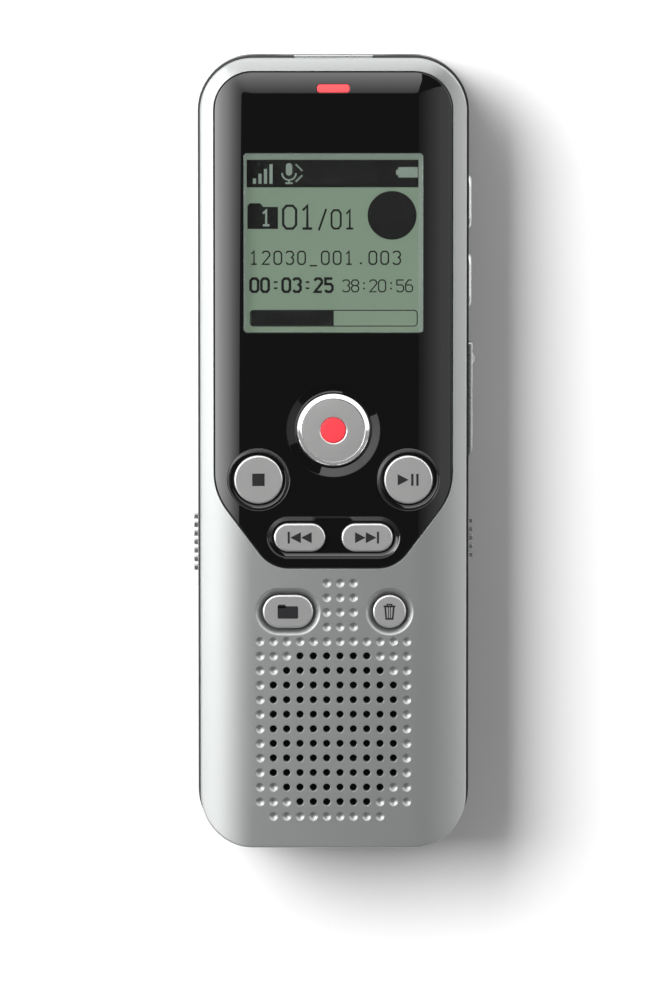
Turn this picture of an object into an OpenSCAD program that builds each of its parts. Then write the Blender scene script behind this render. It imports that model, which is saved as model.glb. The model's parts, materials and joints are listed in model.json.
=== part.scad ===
// Handheld voice recorder lying on its back.
// X is its width, Y its length with the microphone end at +Y, and Z its thickness.
// The origin is on the resting face, under the middle of the case.

/* [Case] */
// Width of the case at the rim of the back shell
case_w = 37; // [36.8:0.1:37.6]
// Length of the case
case_l = 108; // [107.8:0.1:108.6]
// Thickness of the case, without the keys
case_h = 20; // [20:0.1:20.4]
// Radius of the four corners, seen from the front
corner_r = 7.5; // [7.2:0.1:7.8]
// Height of the seam between the two shells
split_z = 14; // [13.9:0.1:14.2]
// Wall of the back shell
wall = 1.5; // [1.4:0.1:1.6]
// How far the back shell's rim shows around the front shell, except at the bottom end
rim_step = 0.35; // [0.25:0.05:0.45]
// Radius along the long edges of the back
back_edge_r = 5; // [4.6:0.1:5.2]
// Radius along the short edges of the back
end_edge_r = 4; // [3.6:0.1:4.4]

/* [Front face] */
// Width of the flat strip down the middle of the front
flat_w = 22; // [21.6:0.2:22.4]
// Radius of the curve between the flat strip and the sides
side_curve_r = 13; // [12.6:0.2:14]
// Length of the curve at the microphone end
end_curve_l = 5.5; // [5:0.1:5.8]
// Radius of the curve at the microphone end
end_curve_r = 9; // [8.6:0.1:9.6]
// Thickness of the front shell's face
front_wall = 1.6; // [1.5:0.1:1.7]

/* [Front panel] */
// Width of the panel
panel_w = 32.4; // [32.2:0.1:32.6]
// Y of the panel's top edge
panel_top_y = 51.85; // [51.6:0.05:51.9]
// Y where the panel starts to narrow
panel_shoulder_y = -5.45; // [-5.7:0.05:-5.2]
// Width of the panel's bottom edge
panel_foot_w = 17; // [16.6:0.1:17.4]
// Y of the panel's bottom edge
panel_foot_y = -15.65; // [-15.8:0.05:-15.5]
// Thickness of the panel
panel_t = 1.2; // [1.1:0.1:1.2]

/* [Display] */
// Width of the display window
window_w = 24.3; // [24.1:0.1:24.5]
// Length of the display window
window_l = 24.3; // [24.1:0.1:24.5]
// Y of the middle of the display
window_y = 28.65; // [28.55:0.05:28.75]

// Width of the record lamp
led_w = 4.4; // [4.2:0.1:4.6]
// Height of the record lamp
led_h = 1.05; // [1:0.05:1.15]
// Y of the record lamp
led_y = 49.6; // [49.4:0.1:49.7]

/* [Front keys] */
// Diameter of the record button
record_d = 10; // [9.9:0.1:10.2]
// Y of the record button
record_y = 3.2; // [3.1:0.1:3.3]
// Diameter of the stop and play buttons
round_key_d = 6.6; // [6.5:0.1:6.8]
// Distance of the stop and play buttons from the middle line
round_key_x = 10.2; // [10.1:0.1:10.3]
// Y of the stop and play buttons
round_key_y = -3.55; // [-3.6:0.05:-3.5]
// Length of the rewind and forward buttons
skip_key_l = 7; // [6.8:0.1:7.2]
// Width of the rewind and forward buttons
skip_key_w = 3.85; // [3.7:0.05:4]
// Distance of the rewind and forward buttons from the middle line
skip_key_x = 4.6; // [4.5:0.1:4.7]
// Y of the rewind and forward buttons
skip_key_y = -11.45; // [-11.5:0.05:-11.4]
// Length of the folder button
folder_key_l = 6.9; // [6.7:0.1:7.1]
// Diameter of the delete button, and width of the folder button
lower_key_w = 4.55; // [4.4:0.05:4.7]
// Y of the folder and delete buttons
lower_key_y = -21.6; // [-21.7:0.1:-21.5]
// How far a front key goes down
key_travel = 0.35; // [0.2:0.05:0.35]

/* [Speaker grid] */
// Distance between columns
grid_pitch_x = 1.82; // [1.8:0.01:1.84]
// Distance between rows
grid_pitch_y = 2; // [1.98:0.01:2.01]
// Y of the first row of holes
grid_first_y = -27.7; // [-27.8:0.1:-27.6]
// Diameter of a hole
hole_d = 1; // [0.9:0.05:1.1]
// Diameter of a dimple
dimple_d = 1.15; // [1:0.05:1.2]

/* [Side controls] */
// How far the side keys stand out of the case
side_proud = 0.4; // [0.35:0.05:0.5]
// Length of a volume key
volume_key_l = 7.5; // [7.3:0.1:7.7]
// How far a volume key goes in
volume_travel = 0.3; // [0.2:0.05:0.3]
// Length of the card cover
card_cover_l = 15.9; // [15.7:0.1:16.1]
// Length of the hold slider
hold_l = 12; // [11.8:0.1:12.2]
// Travel of the hold slider
hold_travel = 1.4; // [1.2:0.1:1.5]
// Length of the mode slider
mode_l = 9.4; // [9.2:0.1:9.6]
// Travel of the mode slider
mode_travel = 1.1; // [1:0.1:1.2]

/* [Batteries] */
// Diameter of an AAA cell
cell_d = 10.5; // [10.3:0.1:10.5]
// Length of an AAA cell with its terminal
cell_l = 44.5; // [44.3:0.1:44.5]

/* [Hidden] */
$fn = 48;

// Case
half_w = case_w / 2;
half_l = case_l / 2;
seam = 0.1;
far = 80;
lip_t = 0.7;
lip_gap = 0.1;
lip_h = 1;

// Layers below the front surface
panel_sunk = 0.05;
panel_gap = 0.1;
seat_depth = panel_sunk + panel_t + 0.05;
ledge_depth = seat_depth + 1.1;

// Board
board_low = split_z - 0.9;
board_t = 1;
board_top = board_low + board_t;
board_w = 31;
board_ends = [-25.6, 50.8];

// Display stack
glass_w = 27.4;
glass_l = 28;
glass_low = board_top + 2.2;
glass_t = 1.6;
holder_rim = 1.4;

// Keys
key_gap = 0.12;
key_proud = 0.45;
record_proud = 0.65;
record_face_d = 8.7;
record_dot_d = 3.5;
key_chamfer = 0.3;
flange_top = case_h - 3;
flange_t = 0.6;
flange_extra = 0.7;
stem_r = 0.7;
stem_low = board_top + 0.15 + key_travel;
well_depth = 0.35;
lower_well_depth = 0.8;
folder_x = -6.2;
delete_x = 7.65;

// Tact switches on the front of the board, one under each front key
switch_w = 3.2;
switch_h = 1.1;
key_places = [
    [0, record_y],
    [-round_key_x, round_key_y],
    [round_key_x, round_key_y],
    [-skip_key_x, skip_key_y],
    [skip_key_x, skip_key_y],
    [folder_x, lower_key_y],
    [delete_x, lower_key_y]
];

// Speaker grid: for each row, the first and the last column that is a hole
grid_columns = 12;
hole_rows = [
    [4, 9], [3, 10], [2, 11], [2, 11], [2, 11], [2, 11],
    [2, 11], [2, 11], [2, 11], [3, 10], [4, 9]
];
middle_dimple_rows = [-5, -4, -3, -2];
dimple_depth = 0.3;

// Speaker
speaker_y = grid_first_y - 5 * grid_pitch_y;
speaker_r = 11.7;
speaker_low = 12.9;

// Side controls
side_z = 10.7;
side_key_h = 3;
volume_ys = [33.9, 23.2];
slider_h = 3.4;
hold_top_y = -6.75;
mode_top_y = -7.4;
rib_pitch = 1.175;
rib_proud = 0.6;
volume_stem_x = 13.1;
plate_t = 0.7;
plate_proud = 0.05;

// Card cover
card_cover_ys = [-1.1, card_cover_l - 1.1];
hinge_knuckle_r = 1.3;
hinge_x = half_w - 0.75;
hinge_y = card_cover_ys[0] + hinge_knuckle_r;
hinge_pin_r = 0.4;
cover_z = [8.7, 13.1];
cover_out = half_w - 0.75 + hinge_knuckle_r;
cover_in = half_w - 0.6;
nub_y = 12.5;

// Sockets at the top end
jack_x = 9.4;
jack_z = board_low - 2.5;
jack_w = 5;
jack_bore_r = 1.8;
jack_depth = 13.5;
jack_collar_r = 2.6;
mic_z = 10.2;
trim_half = 5.4;
trim_low = 8;

// Screws
case_screw_places = [[14.6, 45.2], [-14.6, 45.2], [14.9, -45.5], [-14.9, -45.5]];
board_screw_places = [[-13.4, -21.5], [13.4, -21.5], [-13.4, 9.3], [0, 46.8]];
post_r = 2.2;
post_foot_r = 2.6;
head_seat_z = 5;

// Batteries
cell_x = 5.35;
cell_z = 7.2;
bay_low_y = -50.6;
bay_top_y = -1.6;
contact_t = 0.3;
bay_half_w = 11;
spring_wire_r = 0.3;
spring_turns = 3.5;

// Battery door
door_half_w = 11.6;
door_cap_half_w = 12.4;
door_top_y = 1;
door_cap_z = 6;
door_t = 1.4;
door_gap = 0.1;
tongue_z = [1.7, 2.3];
tongue_x = [9.8, 12.3];

function unit(v) = v / norm(v);

// Flat shapes

module rounded_rect(w, l, r) {
    square([w - 2 * r, l], center = true);
    square([w, l - 2 * r], center = true);
    for (sx = [-1, 1], sy = [-1, 1])
        translate([sx * (w / 2 - r), sy * (l / 2 - r)])
            circle(r = r);
}

// A pill of overall length l along X and width w
module pill(l, w) {
    if (l > w)
        square([l - w, w], center = true);
    for (sx = [-1, 1])
        translate([sx * (l - w) / 2, 0])
            circle(d = w);
}

// Points of the arc that rounds one corner of a polygon
function corner_arc(before, corner, after, r) =
    let (
        u = unit(before - corner),
        v = unit(after - corner),
        half = acos(u * v) / 2,
        centre = corner + unit(u + v) * r / sin(half),
        start = corner + u * r / tan(half) - centre,
        steps = ceil((180 - 2 * half) / 6),
        turn = (cross(u, v) > 0 ? -1 : 1) * (180 - 2 * half) / steps
    )
        [
            for (i = [0:steps])
                centre + [
                    start[0] * cos(turn * i) - start[1] * sin(turn * i),
                    start[0] * sin(turn * i) + start[1] * cos(turn * i)
                ]
        ];

module rounded_polygon(points, radii) {
    n = len(points);
    polygon([
        for (i = [0:n - 1])
            each corner_arc(points[(i + n - 1) % n], points[i], points[(i + 1) % n], radii[i])
    ]);
}

// Outline of the black panel, larger by g all round
module panel_outline(g = 0) {
    side = panel_w / 2 + g;
    foot = panel_foot_w / 2 + g / 2;
    rounded_polygon(
        [
            [-side, panel_top_y + g], [-side, panel_shoulder_y - g / 3],
            [-foot, panel_foot_y - g], [foot, panel_foot_y - g],
            [side, panel_shoulder_y - g / 3], [side, panel_top_y + g]
        ],
        [5.2, 8.3, 5, 5, 8.3, 5.2]
    );
}

// Section of the front's surface from its middle outwards, flat and then an arc
module crown(flat, r, depth) {
    low = case_h - r;
    square([flat, case_h - depth]);
    square([far, low]);
    intersection() {
        translate([flat, low])
            circle(r = r - depth);
        translate([flat, low])
            square([far, r]);
    }
}

module side_crown(depth) {
    for (side = [0, 1])
        mirror([side, 0])
            crown(flat_w / 2, side_curve_r, depth);
}

// The far end of the front is straight, and only the microphone end curves down
module end_crown(depth) {
    crown(half_l - end_curve_l, end_curve_r, depth);
    translate([-far, 0])
        square([far, case_h - depth]);
}

// Outline of the record lamp's window, larger by g all round
module led_outline(g) {
    translate([0, led_y])
        rounded_rect(led_w + 2 * g, led_h + 2 * g, 0.4);
}

// Solids made from the shared outlines

module along_y(l) {
    rotate([90, 0, 0])
        linear_extrude(height = l, center = true)
            children();
}

module along_x(l) {
    rotate([90, 0, 90])
        linear_extrude(height = l, center = true)
            children();
}

module slab(z0, z1) {
    translate([0, 0, z0])
        linear_extrude(height = z1 - z0)
            children();
}

module box(low, high) {
    translate(low)
        cube(high - low);
}

module case_outline(inset) {
    rounded_rect(case_w - 2 * inset, case_l - 2 * inset, corner_r - inset);
}

// The front shell stands back from the case's outline, but is flush with it at the bottom end
module front_outline(inset) {
    trim = rim_step + inset;
    translate([0, -rim_step / 2])
        rounded_rect(case_w - 2 * trim, case_l - rim_step - 2 * inset, corner_r - trim);
}

// What lies under the front surface lowered by depth, above z0, inside an outline
module under_face(depth, z0) {
    intersection() {
        along_y(2 * far)
            side_crown(depth);
        along_x(2 * far)
            end_crown(depth);
        slab(z0, case_h + 1)
            children();
    }
}

// The back shell's outer form, or its cavity when inset by the wall
module back_form(inset) {
    top = split_z + (inset > 0 ? 5 : 0);
    intersection() {
        along_y(2 * far)
            translate([0, inset + (2 * far) / 2])
                rounded_rect(case_w - 2 * inset, 2 * far, back_edge_r - inset);
        along_x(2 * far)
            translate([0, inset + (2 * far) / 2])
                rounded_rect(case_l - 2 * inset, 2 * far, end_edge_r - inset);
        slab(inset, top)
            case_outline(inset);
    }
}

// A pill whose width changes from w to w_top over the height h
module tapered_pill(l, w, w_top, h) {
    if (l > w)
        along_x(l - w)
            polygon([[-w / 2, 0], [w / 2, 0], [w_top / 2, h], [-w_top / 2, h]]);
    for (sx = [-1, 1])
        translate([sx * (l - w) / 2, 0, 0])
            cylinder(h = h, r1 = w / 2, r2 = w_top / 2);
}

// A hole for a key, in whatever lies between the flange and the surface
module key_hole(l, w) {
    slab(flange_top + 0.05, case_h + 1)
        pill(l + 2 * key_gap, w + 2 * key_gap);
}

// A well around a key, from foot outside the key at the bottom to rim outside it at the surface
module key_well(l, w, foot, rim, depth) {
    translate([0, 0, case_h - depth])
        tapered_pill(l + 2 * foot, w + 2 * foot, w + 2 * rim, depth);
    slab(case_h - 0.001, case_h + 1)
        pill(l + 2 * rim, w + 2 * rim);
}

// Front keys

// A key with a chamfered top, a flange that keeps it in, and a stem for its switch
module front_key(l, w, top) {
    slab(flange_top - flange_t, flange_top)
        pill(l + 2 * flange_extra, w + 2 * flange_extra);
    slab(flange_top, top - key_chamfer)
        pill(l, w);
    translate([0, 0, top - key_chamfer])
        tapered_pill(l, w, w - 2 * key_chamfer, key_chamfer);
    translate([0, 0, stem_low])
        cylinder(h = flange_top - stem_low, r = stem_r);
}

module record_button() {
    top = case_h + record_proud;
    rise = (record_d - record_face_d) / 2;
    color("silver")
        translate([0, record_y, 0])
            difference() {
                union() {
                    slab(flange_top - flange_t, flange_top)
                        circle(d = record_d + 2 * flange_extra);
                    slab(flange_top, top - rise / 2)
                        circle(d = record_d);
                    translate([0, 0, top - rise / 2])
                        cylinder(h = rise / 2, d1 = record_d, d2 = record_face_d);
                    translate([0, 0, stem_low])
                        cylinder(h = flange_top - stem_low, r = stem_r);
                }
                slab(top - 0.4, top + 1)
                    circle(d = record_face_d - 0.1);
            }
}

module record_button_face() {
    top = case_h + record_proud;
    color("gainsboro")
        translate([0, record_y, top - 0.4])
            difference() {
                cylinder(h = 0.4, d = record_face_d - 0.16);
                translate([0, 0, -1])
                    cylinder(h = 2, d = record_dot_d + 0.06);
            }
}

module record_button_dot() {
    top = case_h + record_proud;
    color("red")
        translate([0, record_y, top - 0.4])
            cylinder(h = 0.45, d = record_dot_d);
}

module stop_button() {
    color("silver")
        translate([-round_key_x, round_key_y, 0])
            front_key(round_key_d, round_key_d, case_h + key_proud);
}

module play_button() {
    color("silver")
        translate([round_key_x, round_key_y, 0])
            front_key(round_key_d, round_key_d, case_h + key_proud);
}

module rewind_button() {
    color("silver")
        translate([-skip_key_x, skip_key_y, 0])
            front_key(skip_key_l, skip_key_w, case_h + key_proud);
}

module forward_button() {
    color("silver")
        translate([skip_key_x, skip_key_y, 0])
            front_key(skip_key_l, skip_key_w, case_h + key_proud);
}

module folder_button() {
    color("silver")
        translate([folder_x, lower_key_y, 0])
            front_key(folder_key_l, lower_key_w, case_h);
}

module delete_button() {
    color("silver")
        translate([delete_x, lower_key_y, 0])
            front_key(lower_key_w, lower_key_w, case_h);
}

// Front

module grid_at(column, row) {
    x = (column - (grid_columns + 1) / 2) * grid_pitch_x;
    translate([x, grid_first_y - row * grid_pitch_y, 0])
        children();
}

module dimple_at(column, row) {
    r = (dimple_d * dimple_d / 4 + dimple_depth * dimple_depth) / (2 * dimple_depth);
    grid_at(column, row)
        translate([0, 0, case_h + r - dimple_depth])
            sphere(r = r);
}

module grid_holes() {
    slab(case_h - front_wall - 1, case_h + 1)
        for (row = [0:len(hole_rows) - 1], column = [hole_rows[row][0]:hole_rows[row][1]])
            grid_at(column, row)
                circle(d = hole_d);
}

module grid_dimples() {
    last = len(hole_rows);
    for (column = [1:grid_columns])
        dimple_at(column, -1);
    for (column = [2:grid_columns - 2])
        dimple_at(column, last);
    for (row = [0:last - 1])
        for (column = [1:grid_columns])
            if (column < hole_rows[row][0] || column > hole_rows[row][1])
                dimple_at(column, row);
    for (row = middle_dimple_rows, column = [6, 7, 8])
        dimple_at(column, row);
}

module front_shell() {
    ring_r = speaker_r + 0.1;
    color("silver")
        difference() {
            union() {
                difference() {
                    under_face(0, split_z + seam)
                        front_outline(0);
                    under_face(front_wall, split_z - 1)
                        front_outline(wall);
                }
                // Ledge that the panel lies on
                difference() {
                    under_face(seat_depth, split_z + 1)
                        panel_outline(0.8);
                    under_face(ledge_depth, split_z)
                        square(2 * far, center = true);
                }
                // Bosses for the case screws, the board screws, and the speaker's ring
                under_face(front_wall - 0.1, split_z + seam)
                    for (place = case_screw_places)
                        translate(place)
                            circle(r = 2);
                under_face(front_wall - 0.1, board_top)
                    for (place = board_screw_places)
                        translate(place)
                            circle(r = 1.5);
                slab(split_z + 1.4, case_h - front_wall + 0.1)
                    translate([0, speaker_y])
                        difference() {
                            circle(r = ring_r + 0.7);
                            circle(r = ring_r);
                        }
            }
            // Seat of the panel
            difference() {
                slab(split_z + 2, case_h + 1)
                    panel_outline(panel_gap);
                under_face(seat_depth, split_z)
                    square(2 * far, center = true);
            }
            slab(split_z - 1, case_h + 1)
                translate([0, window_y])
                    square([glass_w + 0.4, glass_l + 0.4], center = true);
            slab(split_z - 1, case_h + 1)
                led_outline(0.1);
            translate([0, record_y, 0])
                key_hole(record_d, record_d);
            for (side = [-1, 1]) {
                translate([side * round_key_x, round_key_y, 0])
                    key_hole(round_key_d, round_key_d);
                translate([side * skip_key_x, skip_key_y, 0])
                    key_hole(skip_key_l, skip_key_w);
            }
            translate([folder_x, lower_key_y, 0]) {
                key_hole(folder_key_l, lower_key_w);
                key_well(folder_key_l, lower_key_w, 0.45, 0.95, lower_well_depth);
            }
            translate([delete_x, lower_key_y, 0]) {
                key_hole(lower_key_w, lower_key_w);
                key_well(lower_key_w, lower_key_w, 0.45, 0.95, lower_well_depth);
            }
            grid_holes();
            grid_dimples();
            for (place = concat(case_screw_places, board_screw_places))
                translate([place[0], place[1], split_z - 1])
                    cylinder(h = 4, r = 0.85);
        }
}

module front_panel() {
    color("#141414")
        difference() {
            under_face(panel_sunk, split_z)
                panel_outline();
            under_face(panel_sunk + panel_t, split_z - 1)
                square(2 * far, center = true);
            slab(split_z, case_h + 1)
                translate([0, window_y])
                    rounded_rect(window_w + 0.1, window_l + 0.1, 0.5);
            slab(split_z, case_h + 1)
                led_outline(0.05);
            translate([0, record_y, 0]) {
                key_hole(record_d, record_d);
                key_well(record_d, record_d, key_gap, 1.45, well_depth);
            }
            for (side = [-1, 1]) {
                translate([side * round_key_x, round_key_y, 0]) {
                    key_hole(round_key_d, round_key_d);
                    key_well(round_key_d, round_key_d, 0.5, 1, well_depth);
                }
                translate([side * skip_key_x, skip_key_y, 0])
                    key_hole(skip_key_l, skip_key_w);
            }
            translate([0, skip_key_y, 0])
                key_well(2 * skip_key_x + skip_key_l, skip_key_w, 0.4, 1, well_depth);
        }
}

module display_lens() {
    color("lightgrey", 0.4)
        difference() {
            under_face(panel_sunk, split_z)
                translate([0, window_y])
                    rounded_rect(window_w, window_l, 0.5);
            under_face(panel_sunk + panel_t, split_z - 1)
                square(2 * far, center = true);
        }
}

module led_light_pipe() {
    color("tomato")
        under_face(panel_sunk, board_top + 1.2)
            led_outline(0);
}

module microphone_trim() {
    color("lightgrey")
        difference() {
            slab(trim_low, split_z)
                polygon([
                    [-trim_half, half_l - 0.05], [trim_half, half_l - 0.05],
                    [trim_half - 0.8, half_l - wall], [0.8 - trim_half, half_l - wall]
                ]);
            for (x = [-2, 0, 2])
                translate([x, half_l, mic_z])
                    rotate([90, 0, 0])
                        cylinder(h = 2 * wall, d = 0.8, center = true);
        }
}

// Back

module screw_post(z1) {
    slab(0.5, head_seat_z + 1)
        circle(r = post_foot_r);
    slab(0.5, z1)
        circle(r = post_r);
}

// The opening in the wall and the recess around it for a slider on the side given by side
module slider_recess(side, top_y, l, travel) {
    mid = top_y - (l + travel) / 2;
    span = l + travel + 0.4;
    translate([side * half_w, mid, side_z]) {
        cube([1.5, span, slider_h + 0.2], center = true);
        cube([6, 3.2 + travel, 1.8], center = true);
    }
}

module back_shell() {
    color("#2a2a2c")
        difference() {
            union() {
                difference() {
                    back_form(0);
                    back_form(wall);
                }
                // Lip inside the front shell's wall
                slab(split_z - 0.9, split_z + lip_h)
                    difference() {
                        front_outline(wall + lip_gap);
                        front_outline(wall + lip_gap + lip_t);
                    }
                slab(split_z - 0.9, split_z)
                    difference() {
                        case_outline(wall / 2);
                        front_outline(wall + lip_gap + lip_t);
                    }
                intersection() {
                    back_form(0.1);
                    for (place = case_screw_places)
                        translate([place[0], place[1], 0])
                            screw_post(split_z);
                }
                // Battery bay: a shelf and a wall on each side, and a rib at each end
                for (side = [-1, 1]) {
                    box([side > 0 ? bay_half_w : -half_w + 1, bay_low_y, 2.5],
                        [side > 0 ? half_w - 1 : -bay_half_w, bay_top_y, 3.7]);
                    box([side > 0 ? bay_half_w : -bay_half_w - 0.8, bay_low_y, 2.5],
                        [side > 0 ? bay_half_w + 0.8 : -bay_half_w, bay_top_y, 12.4]);
                }
                intersection() {
                    back_form(0.1);
                    union() {
                        box([-half_w, bay_top_y, 0.5], [half_w, bay_top_y + 0.8, 12.4]);
                        box([-half_w, bay_low_y - 0.8, 2.5], [half_w, bay_low_y, 12.4]);
                    }
                }
            }
            // Battery door's opening, its cap's opening, and the way of its tongues
            difference() {
                box([-door_half_w - door_gap, -half_l - 1, -1],
                    [door_half_w + door_gap, door_top_y + door_gap, door_cap_z + door_gap]);
                back_form(door_t + 0.2);
            }
            box([-door_cap_half_w - door_gap, -half_l - 1, -1],
                [door_cap_half_w + door_gap, wall + 0.15 - half_l, door_cap_z + door_gap]);
            box([-tongue_x[1] - door_gap, -half_l - 1, wall + 0.04],
                [tongue_x[1] + door_gap, bay_top_y - 0.4, tongue_z[1] + door_gap]);
            // Screws
            for (place = case_screw_places)
                translate([place[0], place[1], 0]) {
                    translate([0, 0, -1])
                        cylinder(h = head_seat_z + 1, r = 1.9);
                    cylinder(h = split_z + 2, r = 1.1);
                }
            for (place = case_screw_places)
                slab(split_z + 0.001, split_z + 2)
                    translate(place)
                        circle(r = 2.2);
            // Sockets, microphone and its trim
            for (side = [-1, 1])
                translate([side * jack_x, half_l, jack_z])
                    rotate([90, 0, 0])
                        cylinder(h = 8, r = jack_collar_r + 0.1, center = true);
            slab(trim_low - 0.05, split_z + 2)
                polygon([
                    [-trim_half - 0.05, half_l + 1], [trim_half + 0.05, half_l + 1],
                    [trim_half + 0.05, half_l - 0.05], [trim_half - 0.75, half_l - 2],
                    [0.75 - trim_half, half_l - 2], [-trim_half - 0.05, half_l - 0.05]
                ]);
            box([-3, half_l - 4, split_z - 1.5], [3, half_l - 1.8, split_z + 2]);
            box([-half_w - 1, 19.9, 8.9], [1 - half_w + wall, 28.1, board_low + 0.1]);
            // Volume keys
            for (y = volume_ys)
                translate([half_w - wall, y, side_z])
                    rotate([0, 90, 0])
                        rotate([0, 0, 90])
                            slab(-2, 4)
                                pill(volume_key_l + 2 * key_gap, side_key_h + 2 * key_gap);
            // Sliders
            slider_recess(-1, hold_top_y, hold_l, hold_travel);
            slider_recess(1, mode_top_y, mode_l, mode_travel);
            // Card cover's seat, its hinge, its snap and the card's way in
            box([cover_in - 0.1, hinge_y, cover_z[0] - 0.1],
                [half_w + 1, card_cover_ys[1] + 0.1, cover_z[1] + 0.1]);
            translate([hinge_x, hinge_y, cover_z[0] - 0.1])
                cylinder(h = cover_z[1] - cover_z[0] + 0.2, r = hinge_knuckle_r + 0.1);
            box([hinge_x, hinge_y - hinge_knuckle_r - 0.1, cover_z[0] - 0.1],
                [half_w + 1, hinge_y + 0.1, cover_z[1] + 0.1]);
            translate([hinge_x, hinge_y, cover_z[0] - 0.8])
                cylinder(h = cover_z[1] - cover_z[0] + 1.4, r = hinge_pin_r + 0.02);
            box([half_w - wall - 1.5, 11.5, 9], [half_w, 13.1, 10.4]);
            box([half_w - wall - 1.5, 2, 11.2], [half_w, 13.4, 13]);
        }
}

module battery_door() {
    color("#2a2a2c")
        difference() {
            union() {
                difference() {
                    intersection() {
                        back_form(0);
                        union() {
                            box([-door_half_w, -half_l - 1, -1], [door_half_w, door_top_y, door_cap_z]);
                            box([-door_cap_half_w, -half_l - 1, -1],
                                [door_cap_half_w, -half_l + wall, door_cap_z]);
                        }
                    }
                    back_form(door_t);
                }
                for (side = [-1, 1]) {
                    inner = side > 0 ? tongue_x[0] : -tongue_x[1];
                    outer = side > 0 ? tongue_x[1] : -tongue_x[0];
                    box([inner, 2.6 - half_l, tongue_z[0]], [outer, bay_top_y - 0.6, tongue_z[1]]);
                    box([side > 0 ? tongue_x[0] : 0.4 - door_half_w, 2.6 - half_l, door_t - 0.1],
                        [side > 0 ? door_half_w - 0.4 : -tongue_x[0], bay_top_y - 0.6, tongue_z[1]]);
                }
            }
            // Finger grooves and an arrow that points the way the door slides
            for (i = [0:5])
                translate([0, -30 - 1.5 * i, 0])
                    cube([11, 0.7, 0.6], center = true);
            translate([0, -42, -1])
                linear_extrude(height = 1.3)
                    polygon([[-2.4, 0], [2.4, 0], [0, -3.2]]);
        }
}

module case_screws() {
    color("dimgray")
        for (place = case_screw_places)
            translate([place[0], place[1], 0])
                difference() {
                    union() {
                        translate([0, 0, head_seat_z - 1.5])
                            cylinder(h = 1.5, r = 1.75);
                        translate([0, 0, head_seat_z])
                            cylinder(h = 11.2, r = 0.82);
                    }
                    for (turn = [0, 90])
                        translate([0, 0, head_seat_z - 1.5])
                            rotate([0, 0, turn])
                                cube([2.2, 0.5, 1.4], center = true);
                }
}

module board_screws() {
    color("silver")
        for (place = board_screw_places)
            translate([place[0], place[1], 0])
                difference() {
                    union() {
                        translate([0, 0, board_low - 0.8])
                            cylinder(h = 0.8, r = 1.4);
                        translate([0, 0, board_low])
                            cylinder(h = 3.4, r = 0.72);
                    }
                    for (turn = [0, 90])
                        translate([0, 0, board_low - 0.8])
                            rotate([0, 0, turn])
                                cube([1.8, 0.4, 0.8], center = true);
                }
}

// Display

module lcd_glass() {
    color("#8fa38f")
        translate([0, window_y, glass_low]) {
            slab(0, glass_t / 2)
                square([glass_w, glass_l], center = true);
            slab(glass_t / 2, glass_t)
                translate([0, 1])
                    square([glass_w, glass_l - 2], center = true);
        }
}

module lcd_holder() {
    color("white")
        difference() {
            slab(board_top, board_top + 2.6)
                translate([0, window_y])
                    rounded_rect(glass_w + 2 * holder_rim, glass_l + 2 * holder_rim, 0.8);
            slab(board_top - 1, board_top + 4)
                translate([0, window_y])
                    square([glass_w + 0.1, glass_l + 0.1], center = true);
            box([-7.3, 11, board_top - 1], [7.3, 15, board_top + 4]);
            for (place = case_screw_places)
                translate([place[0], place[1], board_top - 1])
                    cylinder(h = 5, r = 2.3);
        }
}

module lcd_light_guide() {
    color("honeydew")
        slab(board_top + 0.2, glass_low - 0.2)
            translate([0, window_y])
                rounded_rect(glass_w - 0.6, glass_l - 0.8, 0.5);
}

module lcd_flex() {
    low_y = window_y - glass_l / 2;
    color("orange")
        along_x(14)
            polygon([
                [low_y + 0.3, glass_low - 0.02], [low_y + 0.3, glass_low - 0.17],
                [low_y - 0.9, glass_low - 0.17], [low_y - 2.6, board_top + 0.7],
                [low_y - 2.6, board_top + 0.85], [low_y - 0.9, glass_low - 0.02]
            ]);
}

module lcd_connector() {
    low_y = window_y - glass_l / 2;
    color("ivory")
        box([-8, low_y - 4.2, board_top], [8, low_y - 2.65, board_top + 1.2]);
}

// Board and what is on it

module main_board() {
    mid = (board_ends[0] + board_ends[1]) / 2;
    color("darkgreen")
        difference() {
            slab(board_low, board_top)
                difference() {
                    translate([0, mid])
                        rounded_rect(board_w, board_ends[1] - board_ends[0], 4.6);
                    for (place = case_screw_places)
                        translate(place)
                            circle(r = post_foot_r + 0.2);
                }
            for (place = board_screw_places)
                translate([place[0], place[1], board_low - 1])
                    cylinder(h = 4, r = 0.8);
        }
}

// A flat chip on the back of the board with its two rows of legs
module chip(centre, w, l, t, legs) {
    translate([centre[0], centre[1], board_low - t]) {
        slab(0, t - 0.1)
            square([w, l], center = true);
        for (side = [-1, 1], i = [0:legs - 1])
            translate([side * (w / 2 + 0.15), (i - (legs - 1) / 2) * l / legs, t / 2])
                cube([0.5, 0.3, t], center = true);
    }
}

module processor_chip() {
    color("#202020")
        chip([-2, 31.5], 10, 10, 1.1, 9);
}

module memory_chip() {
    color("#202020")
        chip([-2.2, 19.5], 9, 8.4, 1, 8);
}

module audio_chip() {
    color("#202020")
        chip([8, 29], 5, 5, 0.9, 5);
}

module crystal() {
    color("silver")
        translate([8, 36, board_low - 2.2])
            slab(0, 2.2)
                pill(6, 3);
}

module board_components() {
    color("tan")
        for (i = [0:6]) {
            box([-11 + 1.9 * i, 37.6, board_low - 0.5], [-10.1 + 1.9 * i, 38.1, board_low]);
            box([-11 + 1.9 * i, 10.8, board_low - 0.6], [-9.8 + 1.9 * i, 11.6, board_low]);
            box([4.8 + 1.2 * i, 18, board_low - 0.5], [5.4 + 1.2 * i, 19, board_low]);
        }
}

module tact_switches() {
    color("lightgray")
        for (place = key_places)
            translate([place[0], place[1], board_top])
                difference() {
                    slab(0, switch_h)
                        square(switch_w, center = true);
                    translate([0, 0, 0.1])
                        cylinder(h = 2, r = stem_r + 0.06);
                }
}

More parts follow.
